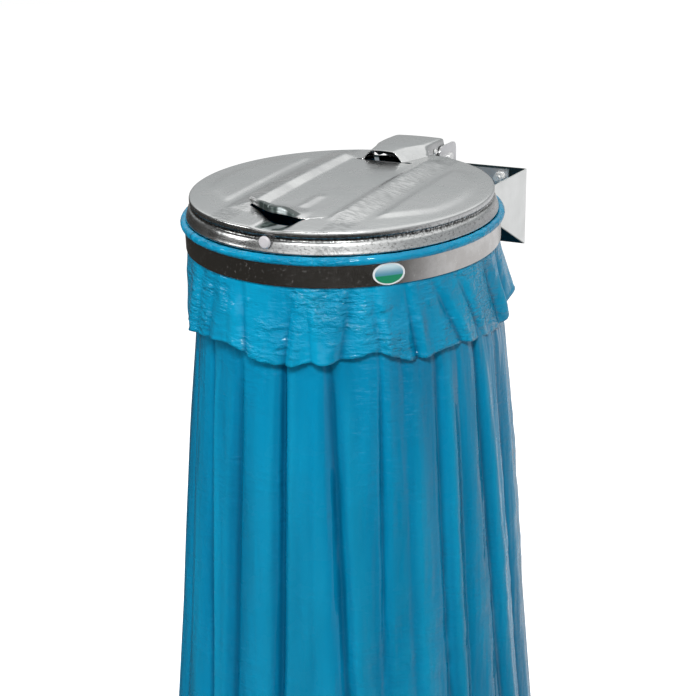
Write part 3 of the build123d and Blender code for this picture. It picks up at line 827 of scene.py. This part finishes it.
    def draw_lip(self, shape: BMesh, home: dict[BMVert, Point]) -> None:
        """Turns the hood's front edge down as a lip for the fingers.

        Args:
            shape: The lid's mesh, with its points in place.
            home: Column and row of every point.
        """
        edges = [edge for edge in shape.edges if edge.is_boundary
                 and all(self.on_hood_edge(vert, home) for vert in edge.verts)]
        for ahead, down in self.lip_steps:
            fresh, edges = drawn_on(shape, edges)
            for vert in fresh:
                lift = self.hood_lift(home[origin_of(vert, home)][0])
                vert.co += Vector((0.0, ahead * (lift / self.hood_rise), -down * max(0.5, lift)))
            home.update({vert: (round(vert.co.x, 3), self.slit_front) for vert in fresh})

    def draw_rear_skirt(self, shape: BMesh) -> None:
        """Carries the skirt through under the arch as a plain strip between the arch's feet."""
        for vert in bmesh.ops.create_grid(shape, x_segments=16, y_segments=5, size=1.0)["verts"]:
            angle, share = math.radians(self.rear_half_angle * vert.co.x), (vert.co.y + 1.0) / 2.0
            radius, level = (between(low, high, share) for low, high in zip(self.rear_foot, self.rear_top))
            vert.co = Vector((math.sin(angle) * radius, math.cos(angle) * radius, level))

    def kept(self, x: float, y: float) -> bool:
        """True where a grid point belongs to the top or the arch."""
        if math.hypot(x, y) < self.flat_radius - 1.0:
            return True
        return y > 0 and abs(x) <= self.arch_foot and y <= self.arch_rear

    def cut_slits(self, shape: BMesh, home: dict[BMVert, Point]) -> None:
        """Opens the sheet along the handle's slit and the arch's mouth.

        Args:
            shape: The lid's mesh, still a flat grid.
            home: Column and row of every point; it is filled anew, as the cut doubles points.
        """
        cuts = []
        for edge in shape.edges:
            (x0, y0), (x1, y1) = (home[vert] for vert in edge.verts)
            for row, left, right in ((self.slit_front, self.slit_left, self.slit_right),
                                     (self.mouth_row, -self.mouth_reach, self.mouth_right)):
                if y0 == y1 == row and left <= min(x0, x1) and max(x0, x1) <= right:
                    cuts.append(edge)
            beside = x0 == x1 == self.slit_left
            if beside and self.slit_front <= min(y0, y1) and max(y0, y1) <= self.slit_side_end:
                cuts.append(edge)
        keyed = {tuple(vert.co): place for vert, place in home.items()}
        bmesh.ops.split_edges(shape, edges=cuts)
        home.clear()
        for vert in shape.verts:
            home[vert] = keyed[tuple(vert.co)]

    def settled(self, vert: BMVert, x: float, y: float, home: dict[BMVert, Point]) -> Vector:
        """Final place of a grid point in the hoop's frame.

        Args:
            vert: The point, whose faces say on which side of a slit it lies.
            x: Its column.
            y: Its row.
            home: Column and row of every point.

        Returns:
            The place in millimetres.
        """
        columns = [home[other][0] for face in vert.link_faces for other in face.verts]
        rows = [home[other][1] for face in vert.link_faces for other in face.verts]
        rear_side = max(rows) > y
        on_front = y == self.slit_front and self.slit_left <= x <= self.slit_right
        if on_front and rear_side and min(rows) >= y and min(columns) >= self.slit_left:
            place = self.slit_place(x)
            return Vector((x, place + self.slit_gap, self.hood_level(x, place)))
        if self.handle_rows[0] < y < self.handle_rows[1] and abs(x) < self.handle_half:
            pull = 1.0 - smooth_ramp(abs(y - self.slit_front), 0.0, 38.0)
            moved = self.slit_place(x) - self.slit_front
            moved = y + moved * pull * (1.0 - smooth_ramp(abs(x), 59.0, self.handle_half))
            if y <= self.slit_front:
                return Vector((x, moved, self.scoop_level(x, moved)))
            raised = min(columns) >= self.slit_left and x >= self.slit_left
            return Vector((x, moved, (self.hood_level if raised else self.plain_top)(x, moved)))
        if y < self.slit_front and abs(x) < self.scoop_reach:
            return Vector((x, y, self.scoop_level(x, y)))
        on_mouth = y == self.mouth_row and rear_side and len(vert.link_faces) <= 2
        if (y > self.mouth_row or on_mouth) and abs(x) <= self.arch_foot:
            reach, level = self.arch_point(x / self.arch_foot, y)
            return Vector((reach, y, level))
        place_x = x
        if y > self.mouth_row and self.arch_foot < abs(x) < self.pulled_half:
            foot = self.arch_centre(y) + math.copysign(self.arch_half(y), x)
            share = (abs(x) - self.arch_foot) / (self.pulled_half - self.arch_foot)
            place_x = between(foot, math.copysign(self.pulled_half, x), share)
        if on_mouth and self.arch_foot < abs(x) <= self.mouth_reach:
            lift = self.mouth_lift * (1.0 - (abs(x) - self.arch_foot) / (self.mouth_reach - self.arch_foot))
            return Vector((x, y + self.mouth_gap, self.plain_top(x, y) + lift))
        if y == self.mouth_row and not rear_side:
            return Vector((x, y - self.mouth_gap, self.plain_top(x, y) - self.slit_gap))
        return Vector((place_x, y, self.plain_top(place_x, y)))

    def on_rim(self, edge: BMEdge, home: dict[BMVert, Point]) -> bool:
        """True for an edge of the top's round outline, the arch's own edges left out."""
        (x0, y0), (x1, y1) = (home[vert] for vert in edge.verts)
        on_arch = min(y0, y1) > 0 and max(abs(x0), abs(x1)) <= self.arch_foot
        return math.hypot(x0 + x1, y0 + y1) > 2.0 * (self.flat_radius - 14.0) and not on_arch

    def draw_skirt(self, shape: BMesh, home: dict[BMVert, Point]) -> None:
        """Snaps the top's edge to a circle and draws the shoulder, groove, skirt and hem from it.

        Args:
            shape: The lid's mesh, with its points in place.
            home: Column and row of every grid point.
        """
        edges = [edge for edge in shape.edges if edge.is_boundary and self.on_rim(edge, home)]
        for vert in {vert for edge in edges for vert in edge.verts}:
            if abs(home[vert][0]) > self.arch_foot or home[vert][1] <= 0:
                flat = Vector((vert.co.x, vert.co.y)).normalized() * self.flat_radius
                vert.co = Vector((flat.x, flat.y, self.rim_level(flat.x, flat.y)))
        for radius, drop in self.skirt_steps:
            fresh, edges = drawn_on(shape, edges)
            for vert in fresh:
                flat = Vector((vert.co.x, vert.co.y)).normalized()
                dip = self.rim_level(flat.x * self.flat_radius, flat.y * self.flat_radius) - self.top_level
                dip *= max(0.0, 1.0 + drop / 6.0)
                vert.co = Vector((flat.x * radius, flat.y * radius, self.top_level + drop + dip))

    def rim_level(self, x: float, y: float) -> float:
        """Level of the top's edge, dipped where the finger scoop runs out."""
        if y < 0 and abs(x) < self.scoop_half:
            return self.top_level - self.scoop_dip * (1.0 - (abs(x) / self.scoop_half) ** 2.4)
        return self.top_level

    def dress(self) -> bpy.types.Object:
        """Builds and places the lid, which stands for the frame's lid."""
        coat = ZincFinish("lid_zinc", (0.60, 0.605, 0.60), (0.47, 0.475, 0.475), 0.25, 0.97,
                          pressed_lid=True)
        work = PieceWork("pressed_lid", Body.LID, Slot.SHEET)
        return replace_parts(work.place(self.build(), coat.material(), self.sheet, 1), "lid")


@dataclass
class FilmBag:
    """The film bag: oval pleated body, film over the bead and the turned-over cuff."""

    turn: float = 27.0
    shift: float = 8.0
    level_drop: float = 120.0
    length: float = 874.0
    top_radius: float = 194.5
    bead_centre: float = 199.7
    bead_radius: float = 5.2
    collar_radius: float = 197.5
    columns: int = 768
    seed: int = 7
    fold_strength: tuple[Point, ...] = ((0.0, 0.0), (60.0, 0.7), (120.0, 2.0), (260.0, 3.4), (402.0, 3.9),
                                        (684.0, 2.8), (820.0, 0.5), (874.0, 0.0))
    fold_bearings: tuple[Point, ...] = (
        (-66, -62), (-50, -44), (-34, -25), (-16, -15), (3, 3), (19, 26), (37, 37), (57, 59), (67, 67),
        (76, 82), (92, 97), (108, 112), (126, 128), (146, 146), (166, 166), (186, 186), (206, 206),
        (226, 226), (246, 246), (264, 264), (280, 281))
    shown_folds: tuple[Fold, ...] = (
        (3.0, 3.2, -6.5, 1.2, 0.0), (-0.8, -0.4, 3.0, 1.8, 0.0), (6.4, 6.8, 3.6, 1.8, 0.0),
        (18.5, 26.5, -4.8, 2.0, 40.0), (23.5, 31.0, 3.0, 2.4, 60.0), (37.2, 36.0, -2.8, 0.8, 40.0),
        (39.5, 39.0, 2.0, 1.6, 40.0), (-15.0, -14.0, -3.6, 1.5, 60.0), (-19.0, -18.0, 2.8, 2.2, 40.0),
        (-33.0, -24.0, -4.0, 1.3, 0.0), (-29.5, -20.5, 3.6, 1.8, 0.0), (58.0, 60.0, -3.4, 1.5, 0.0),
        (62.5, 64.0, 3.4, 2.0, 0.0), (76.0, 84.0, -4.0, 1.4, 0.0), (80.0, 88.0, 3.6, 2.0, 0.0),
        (90.0, 96.0, -3.4, 1.5, 40.0), (44.5, 47.5, -4.0, 1.9, 0.0), (13.0, 14.0, -1.4, 1.2, 90.0))
    narrow_folds: int = 34
    hem: tuple[Point, ...] = (
        (-210.0, 86.0), (-180.0, 92.0), (-150.0, 84.0), (-120.0, 88.0), (-90.0, 94.0), (-60.0, 98.0),
        (-36.0, 89.0), (-30.0, 84.5), (-13.0, 80.0), (-7.5, 90.5), (0.0, 95.0), (9.0, 94.5), (14.8, 89.0),
        (19.6, 90.5), (26.0, 85.0), (32.0, 82.0), (36.0, 78.0), (43.0, 86.0), (49.0, 94.5),
        (54.0, 92.5), (62.0, 88.0), (72.0, 90.0), (82.5, 96.0), (94.0, 101.0), (99.0, 97.0),
        (104.0, 78.0), (112.0, 71.0), (124.0, 72.0), (145.0, 80.0), (162.0, 87.0), (180.0, 92.0),
        (210.0, 84.0))
    pleats: tuple[Pleat, ...] = (
        (-47, -50, 1.6, 3.0), (-33, -37, -3.0, 2.4), (-24, -27, 3.0, 2.2), (-10.5, -9, -4.0, 1.8),
        (9.5, 6, 4.2, 1.5), (13.7, 15.5, 2.4, 1.3), (29.5, 25, -4.4, 1.9), (36.3, 38.4, 3.2, 1.6),
        (48.0, 51.4, 4.6, 1.4), (58, 69.5, 4.6, 1.7), (69, 81, 4.6, 1.7), (86, 98, 5.4, 1.9),
        (99, 103, -6.0, 2.0), (124, 125, 3.5, 3.0), (140, 141, -3.0, 3.0), (156, 157, 3.0, 3.0),
        (176, 176, -3.5, 4.0), (196, 196, 3.0, 4.0), (212, 214, -3.5, 4.0), (230, 230, 3.0, 4.0),
        (246, 245, -3.5, 4.0), (264, 264, 4.0, 4.0), (282, 283, -3.0, 4.0), (298, 296, 3.0, 3.0))
    cuff_corners: tuple[Place, ...] = ((-60.0, -8.0, 17.0), (87.0, -6.5, 9.0), (113.0, 9.0, 7.0))
    cuff_rings: int = 30
    cuff_flare: float = 10.5
    hem_curl: float = 1.3
    film_wall: float = 0.25
    fold_unit: float = 6.0

    def __post_init__(self) -> None:
        """Adds seeded narrow folds to those that the photograph shows."""
        draw = random.Random(self.seed)
        self.folds = list(self.shown_folds)
        for step in range(self.narrow_folds):
            bearing = step * 360.0 / self.narrow_folds + draw.uniform(-4.0, 4.0)
            self.folds.append((bearing, draw.uniform(-5.0, 5.0), draw.uniform(0.3, 1.1),
                               draw.uniform(2.0, 5.0), draw.uniform(0.0, 300.0)))

    def body_relief(self, bearing: float, drop: float) -> float:
        """Depth of the folds at a bearing from the front and a drop below the hoop.

        Args:
            bearing: Degrees from the front.
            drop: Millimetres below the hoop.

        Returns:
            Millimetres outwards.
        """
        share = min(1.0, drop / 700.0)
        relief = self.main_folds(bearing, share) * along_points(self.fold_strength, drop)
        for start, end, depth, width, begin in self.folds:
            away = apart(bearing, between(start, end, share))
            if abs(away) < 4.0 * width:
                grown = smooth_ramp(drop, begin, begin + 120.0)
                relief += depth * grown * math.exp(-(away / width) ** 2)
        return relief

    def main_folds(self, bearing: float, share: float) -> float:
        """Share of the fold depth at a bearing: minus one in a valley, up to 1.2 on a crest.

        Args:
            bearing: Degrees from the front.
            share: Nought at the bag's top, one low on its body.

        Returns:
            The share.
        """
        valleys = [between(top, low, share) for top, low in self.fold_bearings]
        valleys.append(valleys[0] + 360.0)
        place = bearing if bearing >= valleys[0] else bearing + 360.0
        for valley, after in zip(valleys, valleys[1:]):
            if valley <= place <= after:
                crest = min(1.2, (after - valley) / 16.4)
                across = (place - valley) / (after - valley)
                return between(-1.0, crest, math.sin(math.pi * across) ** 0.8)
        return 0.0

    def body_point(self, bearing: float, drop: float) -> Vector:
        """Point of the hanging body in the bracket's frame, in millimetres.

        Args:
            bearing: Degrees from the front.
            drop: Millimetres below the hoop.

        Returns:
            The place.
        """
        angle = math.radians(bearing - 90.0 - self.turn)
        half, depth = self.half_sizes(drop)
        relief = self.body_relief(bearing, drop)
        relief *= smooth_ramp(drop, 50.0, 240.0) if relief > 0 else min(1.0, drop / 60.0)
        relief *= 1.0 - smooth_ramp(drop, self.length - 160.0, self.length)
        shift = self.shift * min(1.0, drop / self.level_drop)
        along = shift + (half + relief) * math.cos(angle)
        across = (depth + relief * min(1.0, depth / 60.0)) * math.sin(angle)
        turn = math.radians(self.turn)
        x = along * math.cos(turn) - across * math.sin(turn)
        y = along * math.sin(turn) + across * math.cos(turn)
        lean = HOOP_TILT * max(0.0, 1.0 - drop / self.level_drop)
        base_y = -HOOP_REACH - FILM_FOOT * math.sin(HOOP_TILT)
        base_z = HOOP_RISE + FILM_FOOT * math.cos(HOOP_TILT)
        return Vector((x, base_y + y * math.cos(lean), base_z - drop + y * math.sin(lean)))

    def half_sizes(self, drop: float) -> Point:
        """Half width and half depth of the body's oval at a drop."""
        bottom = self.length - 190.0
        width = along_points(((0.0, self.top_radius), (60.0, 193.5), (115.0, 199.5), (240.0, 210.0),
                              (500.0, 231.0), (bottom, 249.0), (self.length, 269.0)), drop)
        depth = along_points(((0.0, self.top_radius), (60.0, 194.5), (120.0, 197.0), (240.0, 200.5),
                              (402.0, 199.0), (bottom, 192.0), (bottom + 85.0, 140.0), (bottom + 148.0, 73.0),
                              (self.length, 5.0)), drop)
        return width, depth

    def build_body(self) -> BMesh:
        """Draws the body down from the hoop as a chain of extruded rings."""
        shape = bmesh.new()
        depth = shape.verts.layers.float.new("fold")
        bmesh.ops.create_circle(shape, cap_ends=False, segments=self.columns, radius=1.0)
        drops = [0.0, 6.0, 14.0, 24.0, 36.0, 50.0] + [64.0 + 18.0 * step for step in range(45)]
        drops.append(self.length)
        bearings = self.bearings(shape)
        for drop in drops:
            if drop > drops[0]:
                bearings = self.next_ring(shape, bearings)
            self.set_ring(bearings, drop, self.body_point)
            for vert, bearing in bearings.items():
                # The fold depth kept on each point drives the film's painted shade in the valleys and painted
                # light on the crests.
                vert[depth] = self.body_relief(bearing, drop) / self.fold_unit
        bmesh.ops.recalc_face_normals(shape, faces=shape.faces)
        return shape

    @staticmethod
    def bearings(shape: BMesh) -> dict[BMVert, float]:
        """Bearing from the front of each point of the first ring."""
        return {vert: math.degrees(math.atan2(vert.co.x, -vert.co.y)) for vert in shape.verts}

    @staticmethod
    def next_ring(shape: BMesh, ring: dict[BMVert, float]) -> dict[BMVert, float]:
        """Extrudes a ring once and returns the new ring with its bearings."""
        edges = dict.fromkeys(edge for vert in ring for edge in vert.link_edges
                              if edge.verts[0] in ring and edge.verts[1] in ring)
        return {vert: ring[origin_of(vert, ring)] for vert in drawn_on(shape, edges)[0]}

    @staticmethod
    def set_ring(ring: dict[BMVert, float], drop: float, place: Callable[[float, float], Vector]) -> None:
        """Puts each point of a ring in its place."""
        for vert, bearing in ring.items():
            vert.co = place(bearing, drop)

    def cuff_waves(self, bearing: float, share: float) -> float:
        """Depth of the cuff's pleats, each a sharp valley with a soft crest beside it.

        Args:
            bearing: Degrees from the front.
            share: Nought at the hoop's lower edge, one at the hem.

        Returns:
            Millimetres outwards.
        """
        waves = 0.0
        for top, low, depth, width in self.pleats:
            away = apart(bearing, between(top, low, share))
            if abs(away) < 6.0 * width:
                beside = away - math.copysign(1.9 * width, depth)
                waves -= 1.4 * abs(depth) * math.exp(-abs(away / width) ** 1.3)
                waves += 0.9 * abs(depth) * math.exp(-(beside / (1.5 * width)) ** 2)
        return share ** 0.45 * waves

    def cuff_point(self, bearing: float, share: float) -> Vector:
        """Point of the cuff in the hoop's frame.

        Args:
            bearing: Degrees from the front.
            share: Nought at the hoop's lower edge, one at the hem.

        Returns:
            The place in millimetres.
        """
        drop = share * along_curve(self.hem, bearing)
        flare = self.cuff_flare * smooth_ramp(share, -0.1, 1.0)
        corner = sum(out * math.exp(-((bearing - middle) / width) ** 2)
                     for middle, out, width in self.cuff_corners)
        curl = self.hem_curl * smooth_ramp(share, 0.955, 1.0)
        radius = self.collar_radius + 0.4 + flare + corner * share ** 1.5
        radius += self.cuff_waves(bearing, share) + curl
        spot = round_point(bearing, radius, -drop)
        crumple = noise.noise(spot * 0.030) * 1.6 + noise.noise(spot * 0.09) * 0.45
        radius += crumple * min(1.0, share * 2.5)
        return round_point(bearing, radius, FILM_FOOT - drop)

    def wrap_point(self, bearing: float, step: float) -> Vector:
        """Point of the film from the collar's foot, over the bead and down to the hoop's lower edge.

        Args:
            bearing: Degrees from the front.
            step: Up the collar to one, over the bead to two, down outside the hoop to three.

        Returns:
            The place in the hoop's frame.
        """
        angle = math.radians(bearing)
        if step < 1.0:
            radius, level = self.bead_centre - self.bead_radius, between(FILM_FOOT, 0.0, step)
        elif step <= 2.0:
            swing = math.pi * (1.0 - (step - 1.0) * 1.42)
            radius = self.bead_centre + self.bead_radius * math.cos(swing)
            level = self.bead_radius * math.sin(swing)
        else:
            radius, level = self.collar_radius, between(-5.6, FILM_FOOT, step - 2.0)
        wrinkle = 0.25 * noise.noise(Vector((math.sin(angle) * 26.0, math.cos(angle) * 26.0, level * 0.3)))
        if 1.15 < step <= 2.0:
            radius += wrinkle * math.cos(math.pi * (1.0 - (step - 1.0) * 1.42))
            level += wrinkle
        return round_point(bearing, radius, level)

    def build_cuff(self) -> BMesh:
        """Draws the film over the bead and out as the cuff."""
        shape = bmesh.new()
        depth = shape.verts.layers.float.new("fold")
        bmesh.ops.create_circle(shape, cap_ends=False, segments=self.columns, radius=1.0)
        ring = self.bearings(shape)
        steps = [0.0, 0.9, 1.0] + [1.0 + part / 14 for part in range(1, 15)] + [2.05, 2.5, 3.0]
        self.set_ring(ring, steps[0], self.wrap_point)
        for step in steps[1:]:
            ring = self.next_ring(shape, ring)
            self.set_ring(ring, step, self.wrap_point)
        for step in range(1, self.cuff_rings + 1):
            share = step / self.cuff_rings
            ring = self.next_ring(shape, ring)
            self.set_ring(ring, share, self.cuff_point)
            for vert, bearing in ring.items():
                # The pleat depth kept on each point drives the film's painted shade in the valleys and
                # painted light on the crests.
                vert[depth] = self.cuff_waves(bearing, share) / self.fold_unit
        bmesh.ops.recalc_face_normals(shape, faces=shape.faces)
        return shape

    def dress(self) -> None:
        """Builds the body and the cuff, which stand for the frame's bag."""
        plain = FilmFinish("blue_film_body", (0.001, 0.262, 0.480), (0.001, 0.195, 0.370), 0.12)
        # The cuff is the same film as the body, given lighter colours as painted light.
        lit_crinkled = FilmFinish("blue_film_cuff_lit", (0.002, 0.335, 0.575), (0.001, 0.255, 0.460), 0.54)
        body = PieceWork("film_bag_body", Body.HOLDER, Slot.FILM).place(
            self.build_body(), plain.material(), self.film_wall, turned=False)
        cuff = PieceWork("film_bag_cuff", Body.HOLDER, Slot.FILM).place(
            self.build_cuff(), lit_crinkled.material(), self.film_wall)
        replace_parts(body, "refuse_bag")
        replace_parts(cuff, "refuse_bag")


@dataclass
class DressedFrame:
    """Finishes for the frame's own nodes, which keep their shape and place."""

    replaced: tuple[str, ...] = ("lid", "refuse_bag")

    def coats(self) -> dict[str, Material]:
        """Makes the materials of the nodes that have one of their own.

        Returns:
            Material by node name.
        """
        finishes = {
            "wall_bracket": ZincFinish("bracket_zinc", (0.76, 0.77, 0.75), (0.71, 0.72, 0.70), 0.36, 0.97,
                                        shade_half=0.1385, shade_front=-0.0050),
            "hinge_bracket": ZincFinish("ear_zinc", (0.66, 0.66, 0.665), (0.56, 0.56, 0.565), 0.38, 0.85,
                                         shade_half=0.0385),
            "insert_ring": ZincFinish("ring_zinc", (0.46, 0.465, 0.47), (0.36, 0.365, 0.37), 0.38),
            # The strap is painted near black as painted shade, for it sits in the dark under the arch.
            "hinge_strap": ZincFinish("strap_painted_shade", (0.060, 0.066, 0.066), (0.040, 0.044, 0.045), 0.45, 0.9),
            "support_band": BrightBandFinish(),
            "front_stop": PlasticFinish(),
            "band_label": OvalDiscFinish(),
        }
        return {name: finish.material() for name, finish in finishes.items()}

    def dress(self) -> None:
        """Gives every shown node its material; the fasteners share one."""
        coats = self.coats()
        plated = ZincFinish("plated_steel", (0.86, 0.86, 0.85), (0.74, 0.74, 0.73), 0.28, 0.55, 140.0)
        shared = plated.material()
        for name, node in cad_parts.items():
            if name not in self.replaced:
                self.assign(node, coats.get(name, shared))
                log.info("%s: dressed as a frame node", name)

    @staticmethod
    def assign(node: bpy.types.Object, material: Material) -> None:
        """Makes one material the node's only one."""
        node.data.materials.clear()
        node.data.materials.append(material)


@dataclass(frozen=True)
class Lamp:
    """One soft square lamp that looks at a target; gloss may be kept from seeing it."""

    name: str
    place: Place
    size: float
    power: float
    target: Place = (0.0, -0.25, -0.3)
    glossy: bool = True

    def make(self) -> None:
        """Adds the lamp to the scene."""
        data = bpy.data.lights.new(self.name, "AREA")
        data.shape, data.size, data.energy = "SQUARE", self.size, self.power
        lamp = bpy.data.objects.new(self.name, data)
        lamp.location = self.place
        lamp.visible_glossy = self.glossy
        lamp.rotation_euler = (Vector(self.target) - Vector(self.place)).to_track_quat("-Z", "Y").to_euler()
        bpy.context.scene.collection.objects.link(lamp)


@dataclass
class Studio:
    """Camera, floor, backdrop light and lamps."""

    lens: float = 77.586
    sensor: float = 36.0
    camera_place: Place = (0.84545, -1.93966, 0.50312)
    right: Place = (0.89288895, 0.45013314, -0.01137884)
    up: Place = (-0.13778425, 0.29719436, 0.94482327)
    forward: Place = (-0.42867799, 0.84205444, -0.32738282)
    floor_level: float = -1.15
    floor_glow: float = 0.85
    plain_light: float = 0.24
    gloss_light: float = 1.2
    dark_room: Colour = (0.030, 0.028, 0.025)
    floor_tone: Colour = (0.80, 0.80, 0.80)
    lamps: tuple[Lamp, ...] = (
        Lamp("key_softbox", (1.0, -2.4, 1.9), 0.55, 58.0),
        Lamp("fill_softbox", (-2.0, -1.6, 1.0), 0.9, 15.0),
        Lamp("glint_softbox", (-0.3, -2.7, 2.0), 0.20, 15.0, target=(0.0, -0.25, -0.2)),
        Lamp("rear_softbox", (0.9, 3.0, 1.0), 1.2, 60.0, glossy=False))

    def make_camera(self) -> None:
        """Sets the camera where the photograph was taken from."""
        data = bpy.data.cameras.new("photo_camera")
        data.lens, data.sensor_width = self.lens, self.sensor
        data.clip_start, data.clip_end = 0.05, 60.0
        camera = bpy.data.objects.new("photo_camera", data)
        turned = Matrix((self.right, self.up, tuple(-part for part in self.forward))).transposed()
        camera.matrix_world = Matrix.Translation(self.camera_place) @ turned.to_4x4()
        bpy.context.scene.collection.objects.link(camera)
        bpy.context.scene.camera = camera

    def make_world(self) -> None:
        """White backdrop for the camera, plain light for surfaces and the studio's tones for gloss."""
        world = bpy.data.worlds.new("plain_studio")
        world.use_nodes = True
        sketch = NodeSketch(world.node_tree, "ShaderNodeOutputWorld")
        white, soft, tones = (sketch.node("Background", Color=colour, Strength=strength).outputs[0]
                              for colour, strength in ((WHITE, 1.0), (WHITE, self.plain_light),
                                                       (self.studio_tone(sketch), self.gloss_light)))
        inner = sketch.by_ray(("Glossy",), soft, tones)
        sketch.feed(sketch.output.inputs[0], sketch.by_ray(("Camera", "Transmission"), inner, white))
        bpy.context.scene.world = world

    def studio_tone(self, sketch: NodeSketch) -> Socket:
        """Tone of the room around the object: pale backdrop behind and right, dark room in front.

        Args:
            sketch: The world's nodes.

        Returns:
            Colour by direction.
        """
        forward = sketch.math("MULTIPLY", sketch.part("Y"), -1.0, clamp=False)
        bearing = sketch.math("ARCTAN2", sketch.part("X"), forward, clamp=False)
        climb = sketch.part("Z")

        def turned(tone: object, *steps: tuple[float, float, object]) -> object:
            """Goes over to another tone between two bearings in degrees, once for each step."""
            for start, end, beyond in steps:
                first, last = sorted((math.radians(start), math.radians(end)))
                share = sketch.ramp(bearing, first, last, *((0.0, 1.0) if start < end else (1.0, 0.0)))
                tone = sketch.mix(share, tone, beyond)
            return tone

        grey = sketch.mix(sketch.ramp(climb, 0.36, 0.50), (0.400, 0.420, 0.425), (1.05, 1.06, 1.06))
        low = turned(self.dark_room, (50.0, 125.0, (0.82, 0.82, 0.84)), (-128.0, -172.0, (0.45, 0.45, 0.45)))
        level = turned(self.dark_room, (-34.0, 12.0, (0.95, 0.95, 0.95)), (46.0, 72.0, (0.52, 0.52, 0.53)),
                       (-118.0, -150.0, (0.42, 0.42, 0.42)))
        above = turned(grey, (-118.0, -98.0, (0.07, 0.07, 0.07)), (-46.0, -14.0, (0.92, 0.92, 0.92)),
                       (42.0, 76.0, grey))
        tone = sketch.mix(sketch.ramp(climb, -0.20, -0.04), low, level)
        return sketch.mix(sketch.ramp(climb, 0.04, 0.26), tone, above)

    def make_floor(self) -> None:
        """Pale floor that keeps the object's shadow on a white ground."""
        shape = bmesh.new()
        bmesh.ops.create_circle(shape, cap_ends=True, segments=64, radius=14.0)
        bmesh.ops.translate(shape, verts=shape.verts, vec=(0.0, -0.3, self.floor_level))
        sketch = ShaderSketch("pale_floor")
        diffuse = sketch.node("BsdfDiffuse", Color=self.floor_tone).outputs[0]
        glow = sketch.node("Emission", Color=WHITE, Strength=self.floor_glow)
        lit = sketch.node("AddShader")
        sketch.feed(lit.inputs[0], diffuse)
        sketch.feed(lit.inputs[1], glow.outputs[0])
        seen = sketch.by_ray(("Camera", "Transmission"), diffuse, lit.outputs[0])
        sketch.feed(sketch.output.inputs[0], seen)
        floor = as_object("pale_floor", shape, sketch.material)
        floor.visible_glossy = False

    def build(self) -> None:
        """Makes the whole studio."""
        bpy.context.scene.view_settings.view_transform = "Standard"
        self.make_camera()
        self.make_world()
        self.make_floor()
        for lamp in self.lamps:
            lamp.make()
        log.info("studio: camera, floor and %d lamps ready", len(self.lamps))


def main() -> None:
    """Builds the classes in order."""
    logging.basicConfig(level=logging.INFO, format="%(name)s %(message)s")
    Studio().build()
    DressedFrame().dress()
    PressedLid().dress()
    FilmBag().dress()


if __name__ == "__main__":
    main()
